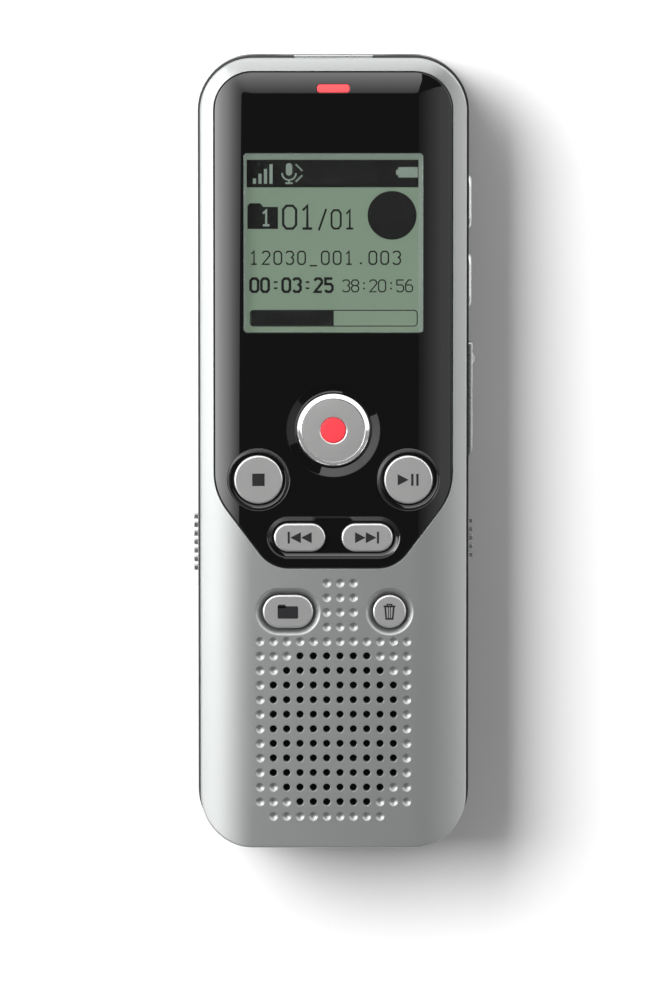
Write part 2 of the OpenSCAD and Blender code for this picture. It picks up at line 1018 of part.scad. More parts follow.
module volume_switches() {
    color("lightgray")
        for (y = volume_ys)
            difference() {
                box([12.2, y - 2, board_low - 3.2], [15.2, y + 2, board_low]);
                translate([volume_stem_x - 0.2, y, side_z])
                    rotate([0, 90, 0])
                        cylinder(h = 4, r = stem_r + 0.06);
            }
}

module hold_switch() {
    mid = hold_top_y - hold_l / 2;
    color("silver")
        box([-14.9, mid - 3.6, board_low - 3.4], [-12.2, mid + 3.6, board_low]);
}

module mode_switch() {
    mid = mode_top_y - mode_l / 2;
    color("silver")
        box([12.2, mid - 3.6, board_low - 3.4], [14.9, mid + 3.6, board_low]);
}

module led_chip() {
    color("white")
        box([-0.9, led_y - 0.45, board_top], [0.9, led_y + 0.45, board_top + 0.9]);
}

// Speaker

module speaker_frame() {
    color("gray")
        translate([0, speaker_y, 0])
            difference() {
                slab(speaker_low + 2.3, speaker_low + 5)
                    circle(r = speaker_r);
                slab(speaker_low + 2.9, speaker_low + 6)
                    circle(r = speaker_r - 0.9);
                slab(speaker_low, speaker_low + 6)
                    circle(r = 5);
            }
}

module speaker_magnet() {
    color("dimgray")
        translate([0, speaker_y, 0])
            slab(speaker_low, speaker_low + 2.3)
                circle(r = 6.2);
}

// A shallow paper cone with a dome in the middle
module speaker_cone() {
    r = speaker_r - 1.1;
    color("#303030")
        translate([0, speaker_y, speaker_low + 3])
            rotate_extrude()
                polygon([
                    [0, 1.5], [2.2, 1.2], [3.6, 0.3], [r - 1.6, 1.5], [r, 1.5],
                    [r, 1.7], [r - 1.7, 1.7], [3.7, 0.6], [2.4, 1.4], [0, 1.7]
                ]);
}

module speaker_gasket() {
    color("#404040")
        translate([0, speaker_y, 0])
            slab(speaker_low + 5.02, case_h - front_wall - 0.03)
                difference() {
                    circle(r = speaker_r - 0.1);
                    circle(r = speaker_r - 1.2);
                }
}

module speaker_mesh() {
    color("#101010")
        translate([0, speaker_y, 0])
            slab(case_h - front_wall - 0.15, case_h - front_wall - 0.02)
                circle(r = speaker_r - 1.3);
}

// Two wires from the speaker's edge to the board
module speaker_leads() {
    start_y = speaker_y + speaker_r - 1.6;
    end_y = board_ends[0] + 0.6;
    color("red")
        for (x = [-1.2, 1.2]) {
            translate([x, end_y + 0.35, board_top + 0.35])
                rotate([90, 0, 0])
                    cylinder(h = end_y - start_y + 0.35, r = 0.3);
            translate([x, start_y, board_top + 0.35])
                cylinder(h = speaker_low + 2.3 - board_top - 0.35, r = 0.3);
        }
}

// Microphone and sockets

module microphone_capsule() {
    color("silver")
        translate([0, half_l - wall - 2.4, mic_z])
            rotate([-90, 0, 0])
                cylinder(h = 1.5, r = 2);
}

module microphone_boot() {
    color("#1c1c1c")
        translate([0, half_l - wall - 0.05, mic_z])
            rotate([90, 0, 0])
                difference() {
                    cylinder(h = 2.9, r = 2.6);
                    translate([0, 0, 0.8])
                        cylinder(h = 3, r = 2.03);
                    translate([0, 0, -1])
                        cylinder(h = 3, r = 1);
                }
}

// A socket for a 3.5 mm plug, with a round collar that fills the case's hole
module jack_socket(side) {
    back_y = half_l - 0.1 - jack_depth - 0.6;
    translate([side * jack_x, 0, jack_z])
        difference() {
            union() {
                box([-jack_w / 2, back_y, -2.5], [jack_w / 2, half_l - wall - 0.1, 2.5]);
                translate([0, half_l - 0.1, 0])
                    rotate([90, 0, 0])
                        cylinder(h = 2.5, r = jack_collar_r - 0.05);
            }
            translate([0, half_l - 0.1 - jack_depth, 0])
                rotate([-90, 0, 0])
                    cylinder(h = jack_depth + 1, r = jack_bore_r);
        }
}

module headphone_socket() {
    color("#1c1c1c")
        jack_socket(1);
}

module microphone_socket() {
    color("#1c1c1c")
        jack_socket(-1);
}

module usb_socket() {
    color("silver")
        difference() {
            box([0.3 - half_w, 20.15, board_low - 4], [9.3 - half_w, 27.85, board_low]);
            difference() {
                box([-half_w, 20.5, board_low - 3.65], [8.5 - half_w, 27.5, board_low - 0.35]);
                box([1.2 - half_w, 21.5, board_low - 2.5], [9 - half_w, 26.5, board_low - 1.5]);
            }
        }
}

module card_socket() {
    color("silver")
        difference() {
            box([4, 1.4, board_low - 1.9], [half_w - wall - 0.1, 13.8, board_low]);
            box([5, 2.2, board_low - 1.6], [half_w, 13.2, board_low - 0.6]);
        }
}

// Batteries

module cell(side, up) {
    nub = 1;
    low_y = up > 0 ? bay_top_y - contact_t : bay_low_y + contact_t;
    translate([side * cell_x, low_y, cell_z])
        rotate([up > 0 ? 90 : -90, 0, 0]) {
            cylinder(h = nub + 0.5, d = 3.6);
            translate([0, 0, nub])
                cylinder(h = cell_l - nub, d = cell_d);
        }
}

module battery_left() {
    color("goldenrod")
        cell(-1, 1);
}

module battery_right() {
    color("goldenrod")
        cell(1, -1);
}

// Wire wound into a cone, standing on a contact plate with its wide end
module conical_spring(height) {
    steps = 56;
    sides = 6;
    wide = 3.6;
    narrow = 2.3;
    turn = 360 * spring_turns / steps;
    rise = (height - 2 * spring_wire_r) / steps;
    rings = [
        for (i = [0:steps], k = [0:sides - 1])
            let (
                r = wide + (narrow - wide) * i / steps + spring_wire_r * cos(360 * k / sides),
                z = spring_wire_r + rise * i + spring_wire_r * sin(360 * k / sides)
            )
                [r * cos(turn * i), r * sin(turn * i), z]
    ];
    skins = [
        for (i = [0:steps - 1], k = [0:sides - 1])
            let (a = i * sides + k, b = i * sides + (k + 1) % sides)
                [a, a + sides, b + sides, b]
    ];
    caps = [
        [for (k = [0:sides - 1]) k],
        [for (k = [sides - 1:-1:0]) steps * sides + k]
    ];
    polyhedron(points = rings, faces = concat(skins, caps), convexity = 4);
}

module battery_springs() {
    height = bay_top_y - bay_low_y - 2 * contact_t - cell_l - 0.02;
    color("silver") {
        translate([-cell_x, bay_low_y + contact_t + 0.01, cell_z])
            rotate([-90, 0, 0])
                conical_spring(height);
        translate([cell_x, bay_top_y - contact_t - 0.01, cell_z])
            rotate([90, 0, 0])
                conical_spring(height);
    }
}

module battery_bridge_contact() {
    color("silver")
        box([-10.2, bay_low_y, 3.2], [10.2, bay_low_y + contact_t, 11.4]);
}

module battery_positive_contact() {
    color("silver")
        box([-9.6, bay_top_y - contact_t, 3.2], [-1.4, bay_top_y, 12.9]);
}

module battery_negative_contact() {
    color("silver")
        box([1.4, bay_top_y - contact_t, 3.2], [9.6, bay_top_y, 12.9]);
}

// Side controls

module card_cover() {
    color("#2a2a2c")
        difference() {
            union() {
                box([cover_in, hinge_y, cover_z[0]], [cover_out, card_cover_ys[1], cover_z[1]]);
                translate([hinge_x, hinge_y, cover_z[0]])
                    cylinder(h = cover_z[1] - cover_z[0], r = hinge_knuckle_r);
                translate([cover_out - 0.35, nub_y, cover_z[0] + 0.8])
                    cylinder(h = cover_z[1] - cover_z[0] - 1.6, r = 0.7);
                box([cover_in - 1, 11.65, 9.1], [cover_in + 0.5, 12.95, 10.3]);
            }
            translate([hinge_x, hinge_y, cover_z[0] - 1])
                cylinder(h = cover_z[1] - cover_z[0] + 2, r = hinge_pin_r + 0.05);
        }
}

module card_cover_pin() {
    color("silver")
        translate([hinge_x, hinge_y, cover_z[0] - 0.75])
            cylinder(h = cover_z[1] - cover_z[0] + 1.3, r = hinge_pin_r);
}

// A key in the right wall: a pill with a flange inside the wall and a stem for its switch
module side_key(y) {
    out = half_w + side_proud;
    inside = half_w - wall - 0.08;
    translate([0, y, side_z])
        rotate([0, 90, 0])
            rotate([0, 0, 90]) {
                slab(inside - 0.1, out - key_chamfer)
                    pill(volume_key_l, side_key_h);
                translate([0, 0, out - key_chamfer])
                    tapered_pill(volume_key_l, side_key_h, side_key_h - 2 * key_chamfer, key_chamfer);
                slab(inside - 0.7, inside)
                    pill(volume_key_l + 1, side_key_h + 1);
                slab(volume_stem_x + volume_travel, inside)
                    circle(r = stem_r);
            }
}

module volume_up_key() {
    color("#2a2a2c")
        side_key(volume_ys[0]);
}

module volume_down_key() {
    color("#2a2a2c")
        side_key(volume_ys[1]);
}

// A ribbed slider in a side wall, with a stem through the wall and a clip inside it
module slider(side, top_y, l, ribs) {
    mid = top_y - l / 2;
    plate_in = half_w + plate_proud - plate_t;
    mirror([side > 0 ? 0 : 1, 0, 0])
        translate([0, mid, side_z]) {
            box([plate_in, -l / 2, -slider_h / 2], [half_w + plate_proud, l / 2, slider_h / 2]);
            for (i = [0:ribs - 1])
                translate([half_w, (i - (ribs - 1) / 2) * rib_pitch, 0])
                    cube([2 * rib_proud, 0.6, slider_h - 0.4], center = true);
            box([15.2, -1.4, -0.75], [half_w, 1.4, 0.75]);
            box([half_w - wall - 0.8, -2.6, -1.5], [half_w - wall - 0.1, 2.6, 1.5]);
        }
}

module hold_slider() {
    color("#2a2a2c")
        slider(-1, hold_top_y, hold_l, 7);
}

module mode_slider() {
    color("#2a2a2c")
        slider(1, mode_top_y, mode_l, 5);
}

front_shell();
back_shell();
front_panel();
display_lens();
led_light_pipe();
microphone_trim();
lcd_glass();
lcd_holder();
lcd_light_guide();
lcd_flex();
lcd_connector();
main_board();
processor_chip();
memory_chip();
audio_chip();
crystal();
board_components();
tact_switches();
volume_switches();
hold_switch();
mode_switch();
led_chip();
speaker_frame();
speaker_magnet();
speaker_cone();
speaker_gasket();
speaker_mesh();
speaker_leads();
microphone_capsule();
microphone_boot();
headphone_socket();
microphone_socket();
usb_socket();
card_socket();
battery_left();
battery_right();
battery_springs();
battery_bridge_contact();
battery_positive_contact();
battery_negative_contact();
battery_door();
case_screws();
board_screws();
card_cover();
card_cover_pin();
record_button();
record_button_face();
record_button_dot();
stop_button();
play_button();
rewind_button();
forward_button();
folder_button();
delete_button();
volume_up_key();
volume_down_key();
hold_slider();
mode_slider();
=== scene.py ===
"""Looks of the handheld voice recorder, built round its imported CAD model.

Lengths are in millimetres until a mesh is made, and then in metres, as the frame is.
The floor, the lights and the camera are in metres.
X is the width, Y the length with the microphone end at +Y, and Z the thickness.
"""

import json
import math

import bmesh
import bpy
import numpy as np
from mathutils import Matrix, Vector, geometry


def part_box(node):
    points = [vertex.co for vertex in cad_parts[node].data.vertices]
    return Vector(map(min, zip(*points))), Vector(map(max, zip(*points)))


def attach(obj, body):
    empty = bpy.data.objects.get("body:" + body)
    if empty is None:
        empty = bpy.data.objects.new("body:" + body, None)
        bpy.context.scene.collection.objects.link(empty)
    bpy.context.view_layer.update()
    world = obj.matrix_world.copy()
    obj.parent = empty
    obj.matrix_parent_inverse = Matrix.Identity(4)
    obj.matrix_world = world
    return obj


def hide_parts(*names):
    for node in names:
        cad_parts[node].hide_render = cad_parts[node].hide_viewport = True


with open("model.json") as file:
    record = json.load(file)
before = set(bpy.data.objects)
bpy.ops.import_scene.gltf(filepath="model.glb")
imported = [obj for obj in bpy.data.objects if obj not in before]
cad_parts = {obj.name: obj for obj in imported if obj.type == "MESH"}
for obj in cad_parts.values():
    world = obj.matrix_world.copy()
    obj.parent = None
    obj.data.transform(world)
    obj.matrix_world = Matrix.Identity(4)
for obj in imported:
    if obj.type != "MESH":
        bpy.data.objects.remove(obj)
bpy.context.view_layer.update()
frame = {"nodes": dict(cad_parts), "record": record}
scene = bpy.context.scene
MM = 0.001


# ---------------------------------------------------------------- sizes from the frame


def box_mm(node):
    """Lowest and highest corner of a CAD node, in millimetres."""
    low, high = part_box(node)
    return np.array(low) / MM, np.array(high) / MM


def middle(node):
    low, high = box_mm(node)
    return (low + high) / 2


def size(node):
    low, high = box_mm(node)
    return high - low


SHELL_LOW, SHELL_HIGH = box_mm("front_shell")
FRONT_Z = SHELL_HIGH[2]
SHELL_W = SHELL_HIGH[0] - SHELL_LOW[0]
SHELL_L = SHELL_HIGH[1] - SHELL_LOW[1]
SHELL_MIDDLE = ((SHELL_HIGH + SHELL_LOW) / 2)[:2]
SHELL_CORNER = 7.15
SHELL_WALL = 1.5
FACE_WALL = 1.6

# The front's surface: a flat strip, an arc to each side, and an arc at the microphone end.
# The shading adds a slight crown across the width, of radius CROWN_R.
FLAT_HALF = 11.0
SIDE_R = 13.0
CROWN_R = 220.0
END_START = SHELL_HIGH[1] + 0.35 - 5.5
END_R = 9.0

# The black panel and what it lies on
PANEL_SUNK = 0.05
PANEL_T = 1.2
PANEL_GAP = 0.1
SEAT_DEPTH = PANEL_SUNK + PANEL_T + 0.05
LEDGE_DEPTH = SEAT_DEPTH + 1.1
PANEL_LOW, PANEL_HIGH = box_mm("front_panel")
PANEL_SHOULDER_Y = -5.45
PANEL_FOOT_HALF = 8.5
PANEL_CORNERS = [5.2, 5.2, 8.3, 5, 5, 8.3]

# Keys: every key has a flange below the surface that is this much wider than its cap
FLANGE_EXTRA = 0.7
FLANGE_T = 0.6
FLANGE_TOP = FRONT_Z - 3
KEY_GAP = 0.12
KEY_RIM = 0.27
STEM_R = 0.7
PANEL_WELL_DEPTH = 0.35
SHELL_WELL_DEPTH = 0.8
SHELL_WELL_RIM = 1.0
PANEL_KEYS = ["record_button", "stop_button", "play_button", "rewind_button", "forward_button"]
SHELL_KEYS = ["folder_button", "delete_button"]

# Speaker grid. HOLE_ROWS gives the first and last column with a hole in each row, from row 0
# downwards, and the middle dimple rows lie above row 0.
GRID_COLUMNS = 12
GRID_PITCH = (1.82, 2.0)
GRID_FIRST_Y = -27.7
HOLE_R = 0.5
DIMPLE_R = 0.575
DIMPLE_DEPTH = 0.3
HOLE_ROWS = [(4, 9), (3, 10)] + [(2, 11)] * 7 + [(3, 10), (4, 9)]
MIDDLE_DIMPLE_ROWS = (-5, -4, -3, -2)

# Bosses inside the shell, and the hole that their screws cut their threads in
CASE_SCREWS = [(14.6, 45.2), (-14.6, 45.2), (14.9, -45.5), (-14.9, -45.5)]
BOARD_SCREWS = [(-13.4, -21.5), (13.4, -21.5), (-13.4, 9.3), (0, 46.8)]
CASE_BOSS_R = 2
BOARD_BOSS_R = 1.5
SCREW_HOLE_R = 0.85


# ---------------------------------------------------------------- flat outlines


def arc(centre, r, start, end, steps):
    """Points on an arc from start to end, in degrees."""
    turns = np.radians(np.linspace(start, end, steps + 1))
    return np.array(centre) + r * np.stack([np.cos(turns), np.sin(turns)], 1)


def circle(centre, r, steps=48):
    return arc(centre, r, 0, 360, steps)[:-1]


def pill(centre, length, width, steps=24):
    """A closed outline, long along X, that is a circle if the length is the width."""
    if length - width < 1e-3:
        return arc(centre, width / 2, -90, 270, 2 * steps + 2)[:-1]
    reach = (length - width) / 2
    right = arc((centre[0] + reach, centre[1]), width / 2, -90, 90, steps)
    left = arc((centre[0] - reach, centre[1]), width / 2, 90, 270, steps)
    return np.concatenate([right, left])


def pill_up(centre, w, h):
    """An upright pill."""
    turned = pill((0, 0), h, w, 10)
    return np.stack([-turned[:, 1], turned[:, 0]], 1) + np.array(centre)


def rounded_rect(centre, w, l, r, steps=8):
    x, y = w / 2 - r, l / 2 - r
    corners = [(x, y, 0), (-x, y, 90), (-x, -y, 180), (x, -y, 270)]
    return np.concatenate(
        [arc((centre[0] + cx, centre[1] + cy), r, a, a + 90, steps) for cx, cy, a in corners]
    )


def rounded_polygon(points, radii, steps=14):
    """A polygon, anticlockwise, with each corner rounded by its own radius."""
    points = np.array(points, float)
    rounded = []
    for i, corner in enumerate(points):
        to_last = points[i - 1] - corner
        to_next = points[(i + 1) % len(points)] - corner
        u = to_last / np.linalg.norm(to_last)
        v = to_next / np.linalg.norm(to_next)
        half = math.acos(u @ v) / 2
        bisector = (u + v) / np.linalg.norm(u + v)
        centre = corner + bisector * radii[i] / math.sin(half)
        reach = radii[i] / math.tan(half)
        first = corner + u * reach - centre
        last = corner + v * reach - centre
        start = math.degrees(math.atan2(first[1], first[0]))
        sweep = math.degrees(math.atan2(np.cross(first, last), first @ last))
        rounded.append(arc(centre, radii[i], start, start + sweep, steps))
    return np.concatenate(rounded)


def subdivide(loop, longest):
    """The same outline with no side longer than longest."""
    made = []
    for a, b in zip(loop, np.roll(loop, -1, 0)):
        cuts = max(1, math.ceil(np.linalg.norm(b - a) / longest))
        made += [a + (b - a) * i / cuts for i in range(cuts)]
    return np.array(made)


def offset(loop, d):
    """The outline moved outwards by d, point by point. The outline is anticlockwise."""
    along = np.roll(loop, -1, 0) - loop
    along /= np.linalg.norm(along, axis=1)[:, None]
    out = np.stack([along[:, 1], -along[:, 0]], 1)
    before = np.roll(out, 1, 0)
    bisector = out + before
    bisector /= np.linalg.norm(bisector, axis=1)[:, None]
    return loop + bisector * (d / (bisector * out).sum(1))[:, None]


def panel_outline():
    side, foot = PANEL_HIGH[0], PANEL_FOOT_HALF
    top, low = PANEL_HIGH[1], PANEL_LOW[1]
    points = [
        (side, top), (-side, top), (-side, PANEL_SHOULDER_Y),
        (-foot, low), (foot, low), (side, PANEL_SHOULDER_Y),
    ]
    return subdivide(rounded_polygon(points, PANEL_CORNERS), 1.2)


def inside(loop, points):
    """Which points lie inside the outline."""
    found = np.zeros(len(points), bool)
    near = np.all((points > loop.min(0)) & (points < loop.max(0)), 1)
    x, y = points[near, 0][:, None], points[near, 1][:, None]
    a, b = loop, np.roll(loop, -1, 0)
    spans = (a[:, 1] > y) != (b[:, 1] > y)
    rise = np.where(b[:, 1] == a[:, 1], 1, b[:, 1] - a[:, 1])
    cross_x = a[:, 0] + (y - a[:, 1]) * (b[:, 0] - a[:, 0]) / rise
    found[near] = (spans & (x < cross_x)).sum(1) % 2 == 1
    return found


# ---------------------------------------------------------------- the front's surface


def front_z(points, depth=0.0):
    """Height of the front's surface, lowered by depth, over each point."""
    sideways = np.clip(np.abs(points[:, 0]) - FLAT_HALF, 0, SIDE_R - depth - 0.01)
    endways = np.clip(points[:, 1] - END_START, 0, END_R - depth - 0.01)
    side_r, end_r = SIDE_R - depth, END_R - depth
    side_drop = side_r - np.sqrt(side_r**2 - sideways**2)
    end_drop = end_r - np.sqrt(end_r**2 - endways**2)
    return FRONT_Z - depth - np.hypot(side_drop, end_drop)


def front_normal(points, depth=0.0):
    """The direction that the front's surface faces over each point."""
    h = 0.01
    dx = front_z(points + [h, 0], depth) - front_z(points - [h, 0], depth)
    dy = front_z(points + [0, h], depth) - front_z(points - [0, h], depth)
    crown = 2 * h * points[:, 0] / CROWN_R
    n = np.stack([crown - dx, -dy, np.full(len(points), 2 * h)], 1)
    return n / np.linalg.norm(n, axis=1)[:, None]


def below_front(depth):
    """The height of the front's surface lowered by depth, as a function of points."""
    return lambda points: front_z(points, depth)


def panel_normal(points):
    return front_normal(points, PANEL_SUNK)


# ---------------------------------------------------------------- solids from rings


class Solid:
    """Faces that share their corners, with exact normals where the surface is known."""

    def __init__(self):
        self.points, self.faces, self.index, self.exact = [], [], {}, {}

    def corner(self, p, normal=None):
        key = (round(p[0], 5), round(p[1], 5), round(p[2], 5))
        i = self.index.setdefault(key, len(self.points))
        if i == len(self.points):
            self.points.append(key)
        if normal is not None:
            self.exact[i] = normal
        return i

    def corners(self, ring):
        return [self.corner(p) for p in ring]

    def strip(self, *rings):
        """Bands of faces between rings that have the same number of points."""
        rings = [self.corners(r) for r in rings]
        for a, b in zip(rings, rings[1:]):
            for i in range(len(a)):
                j = (i + 1) % len(a)
                face = list(dict.fromkeys([a[i], a[j], b[j], b[i]]))
                if len(face) > 2:
                    self.faces.append(face)

    def cap(self, ring):
        """One flat face that closes a ring."""
        self.faces.append(list(dict.fromkeys(self.corners(ring))))

    def skin(self, outer, holes, lift, facing=None, grid=None):
        """The surface inside an outline and outside its holes, lifted to its height."""
        points, edges = [], []
        for loop in [outer, *holes]:
            first, n = len(points), len(loop)
            points += list(loop)
            edges += [(first + i, first + (i + 1) % n) for i in range(n)]
        if grid is not None:
            free = inside(offset(outer, -0.25), grid)
            for loop in holes:
                free &= ~inside(offset(loop, 0.25), grid)
            points += list(grid[free])
        points = np.array(points)
        flat = [Vector(p) for p in points]
        found = geometry.delaunay_2d_cdt(flat, edges, [], 0, 1e-7)
        source = [orig[0] for orig in found[3]]
        triangles = np.array([[source[i] for i in face] for face in found[2]])
        middles = points[triangles].mean(1)
        sides = points[triangles[:, 1:]] - points[triangles[:, :1]]
        keep = inside(outer, middles) & (np.abs(np.linalg.det(sides)) > 1e-6)
        for loop in holes:
            keep &= ~inside(loop, middles)
        heights = lift(points)
        normals = facing(points) if facing is not None else None
        ids = {}
        for t in triangles[keep]:
            for i in t:
                if i not in ids:
                    n = None if normals is None else normals[i]
                    ids[i] = self.corner((*points[i], heights[i]), n)
            self.faces.append([ids[i] for i in t])

    def piece(self, name, body, slot, replaces=(), material=None):
        """The solid as a Blender mesh that rides on a body, in its slot's material if none is given."""
        mesh = bpy.data.meshes.new(name)
        mesh.from_pydata([[c * MM for c in p] for p in self.points], [], self.faces)
        mesh.validate()
        made = bpy.data.objects.new(name, mesh)
        scene.collection.objects.link(made)
        face_outwards(mesh)
        mesh.polygons.foreach_set("use_smooth", [True] * len(mesh.polygons))
        mesh.set_sharp_from_angle(angle=math.radians(50))
        if self.exact:
            self.set_normals(mesh)
        else:
            weighted = made.modifiers.new("even_shading", "WEIGHTED_NORMAL")
            weighted.keep_sharp = True
        mesh.materials.append(material or MATERIALS[slot])
        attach(made, body)
        if replaces:
            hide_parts(*replaces)
        return made

    def set_normals(self, mesh):
        """Shades the known surface by its exact normals and the rest as usual."""
        normals = np.zeros(len(mesh.loops) * 3)
        mesh.corner_normals.foreach_get("vector", normals)
        normals = normals.reshape(-1, 3)
        corners = np.zeros(len(mesh.loops), int)
        mesh.loops.foreach_get("vertex_index", corners)
        faces = np.repeat(np.arange(len(mesh.polygons)), [p.loop_total for p in mesh.polygons])
        face_normals = np.array([p.normal for p in mesh.polygons])[faces]
        exact = np.full((len(mesh.vertices), 3), np.nan)
        for i, n in self.exact.items():
            exact[i] = n
        known = exact[corners]
        close = (known * face_normals).sum(1) > math.cos(math.radians(25))
        normals[close] = known[close]
        mesh.normals_split_custom_set([Vector(n) for n in normals])


def face_outwards(mesh):
    working = bmesh.new()
    working.from_mesh(mesh)
    bmesh.ops.recalc_face_normals(working, faces=working.faces)
    working.to_mesh(mesh)
    working.free()


def at_height(loop, z):
    """An outline as a ring of points in space, at one height or at a height for each."""
    return np.column_stack([loop, np.broadcast_to(z, len(loop))])


def on_front(loop, depth=0.0):
    return at_height(loop, front_z(loop, depth))


def rounded_edge(loop, r, height, steps=4, cut=False):
    """Rings of a rounded edge, from the face to the side r below it.

    height is the face's height, or a function that gives it over points. The edge of a cut rounds
    away from the outline, and that of a solid rounds into it.
    """
    way = 1 if cut else -1
    rings = []
    for t in np.radians(np.linspace(0, 90, steps + 1)):
        at = offset(loop, way * r * (1 - math.sin(t)))
        face = height(at) if callable(height) else height
        rings.append(at_height(at, face - r * (1 - math.cos(t))))
    return rings


def prism(solid, loop, z0, z1, r=0.0):
    """A closed flat solid with a rounded top edge."""
    top = rounded_edge(loop, r, z1) if r else [at_height(loop, z1)]
    solid.cap(top[0])
    solid.strip(*top, at_height(loop, z0))
    solid.cap(at_height(loop, z0))


def tube(solid, centre, r_out, r_in, z0, z1, steps=32):
    outer, inner = circle(centre, r_out, steps), circle(centre, r_in, steps)
    rings = [at_height(outer, z0), at_height(outer, z1), at_height(inner, z1), at_height(inner, z0)]
    solid.strip(*rings, rings[0])


# ---------------------------------------------------------------- materials


MATERIALS = {}


def maths(tree, operation, *values):
    """The result of a maths node, whose inputs are numbers or the outputs of other nodes."""
    node = tree.nodes.new("ShaderNodeMath")
    node.operation = operation
    for socket, value in zip(node.inputs, values):
        if isinstance(value, float):
            socket.default_value = value
        else:
            tree.links.new(value, socket)
    return node.outputs["Value"]


def ramp(tree, value, start, end, low, high, curve="LINEAR"):
    """A result that goes from low to high while the value goes from start to end."""
    node = tree.nodes.new("ShaderNodeMapRange")
    node.interpolation_type = curve
    for name, number in (("From Min", start), ("From Max", end), ("To Min", low), ("To Max", high)):
        node.inputs[name].default_value = number
    tree.links.new(value, node.inputs["Value"])
    return node.outputs["Result"]


def finish(
    slot,
    colour,
    roughness,
    metallic=0.0,
    grain_mm=0.25,
    mottle=0.05,
    bump=0.15,
    bump_mm=0.01,
    rough_range=0.04,
    wear=0.03,
    stretch=(1, 1, 1),
    **constants,
):
    """A finish with a fine grain in its colour, gloss and relief, and slow handling marks in its gloss.

    It goes into MATERIALS under its slot's name.
    """
    made = bpy.data.materials.new(slot)
    MATERIALS[slot] = made
    made.use_nodes = True
    tree = made.node_tree
    nodes, link = tree.nodes, tree.links.new
    shader = nodes["Principled BSDF"]
    shader.inputs["Metallic"].default_value = metallic
    for name, value in constants.items():
        shader.inputs[name.replace("_", " ")].default_value = value
    place = nodes.new("ShaderNodeTexCoord")
    mapping = nodes.new("ShaderNodeMapping")
    mapping.inputs["Scale"].default_value = stretch
    link(place.outputs["Object"], mapping.inputs["Vector"])
    grain = nodes.new("ShaderNodeTexNoise")
    grain.inputs["Scale"].default_value = 1 / (grain_mm * MM)
    grain.inputs["Detail"].default_value = 3
    link(mapping.outputs["Vector"], grain.inputs["Vector"])
    marks = nodes.new("ShaderNodeTexNoise")
    marks.inputs["Scale"].default_value = 1 / (9 * MM)
    marks.inputs["Detail"].default_value = 5
    link(place.outputs["Object"], marks.inputs["Vector"])

    tint = nodes.new("ShaderNodeMix")
    tint.data_type = "RGBA"
    tint.inputs["A"].default_value = (*[c * (1 - mottle) for c in colour], 1)
    tint.inputs["B"].default_value = (*[c * (1 + mottle) for c in colour], 1)
    link(grain.outputs["Fac"], tint.inputs["Factor"])
    link(tint.outputs["Result"], shader.inputs["Base Color"])

    smoothest = max(0.0, roughness - rough_range)
    gloss = ramp(tree, grain.outputs["Fac"], 0.3, 0.7, smoothest, roughness + rough_range)
    handled = maths(tree, "MULTIPLY_ADD", marks.outputs["Fac"], wear, gloss)
    link(handled, shader.inputs["Roughness"])

    relief = nodes.new("ShaderNodeBump")
    relief.inputs["Strength"].default_value = bump
    relief.inputs["Distance"].default_value = bump_mm * MM
    link(grain.outputs["Fac"], relief.inputs["Height"])
    link(relief.outputs["Normal"], shader.inputs["Normal"])
    return made


def glow_lamp_or_painted(slot, colour, strength, roughness, rows_mm=0.0, **constants):
    """A glowing surface, with the faint rows and columns of a dot display if rows_mm is above 0. The glow
    is a lamp's own where the surface is a lamp, and painted light where it stands in for light that falls
    on the surface.
    """
    made = finish(slot, [c * 0.3 for c in colour], roughness, bump=0.02, mottle=0.02, **constants)
    nodes, link = made.node_tree.nodes, made.node_tree.links.new
    shader = nodes["Principled BSDF"]
    shader.inputs["Emission Strength"].default_value = strength
    if not rows_mm:
        shader.inputs["Emission Color"].default_value = (*colour, 1)
        return made
    place = nodes["Texture Coordinate"]
    dots = nodes.new("ShaderNodeTexBrick")
    dots.offset = 0
    dots.inputs["Color1"].default_value = (*colour, 1)
    dots.inputs["Color2"].default_value = (*[c * 0.97 for c in colour], 1)
    dots.inputs["Mortar"].default_value = (*[c * 1.12 for c in colour], 1)
    dots.inputs["Scale"].default_value = 1 / MM
    dots.inputs["Brick Width"].default_value = rows_mm
    dots.inputs["Row Height"].default_value = rows_mm
    dots.inputs["Mortar Size"].default_value = rows_mm * 0.08
    dots.inputs["Mortar Smooth"].default_value = 0.3
    link(place.outputs["Object"], dots.inputs["Vector"])
    link(dots.outputs["Color"], shader.inputs["Emission Color"])
    return made


def grey(level):
    """Linear value of a display grey level from 0 to 255."""
    c = level / 255
    return c / 12.92 if c <= 0.04045 else ((c + 0.055) / 1.055) ** 2.4


def tone(r, g, b):
    return [grey(r), grey(g), grey(b)]


BRUSHED_X = (1, 14, 14)
finish("silver_case", (0.4, 0.412, 0.408), 0.46, 0.9, grain_mm=0.09, bump=0.12, bump_mm=0.006)
finish("dark_case", (0.032, 0.032, 0.034), 0.42, grain_mm=0.22, bump=0.5, bump_mm=0.02)
finish(
    "gloss_panel", (0.0022, 0.0022, 0.0022), 0.015, grain_mm=3, bump=0.02,
    rough_range=0.005, wear=0.01, IOR=1.67,
)
finish(
    "clear_lens", (0.98, 1.0, 0.98), 0.01, bump=0.0, mottle=0.005, rough_range=0.005,
    Transmission_Weight=1.0, IOR=1.49,
)
glow_lamp_or_painted("red_lens", (1.0, 0.085, 0.095), 0.9, 0.3)
finish("record_red", (1.0, 0.045, 0.06), 0.4, mottle=0.03, bump=0.05, Specular_IOR_Level=0.3)
finish("trim_metal", (0.6, 0.6, 0.61), 0.28, 1.0, stretch=(1, 1, 14), bump=0.2)
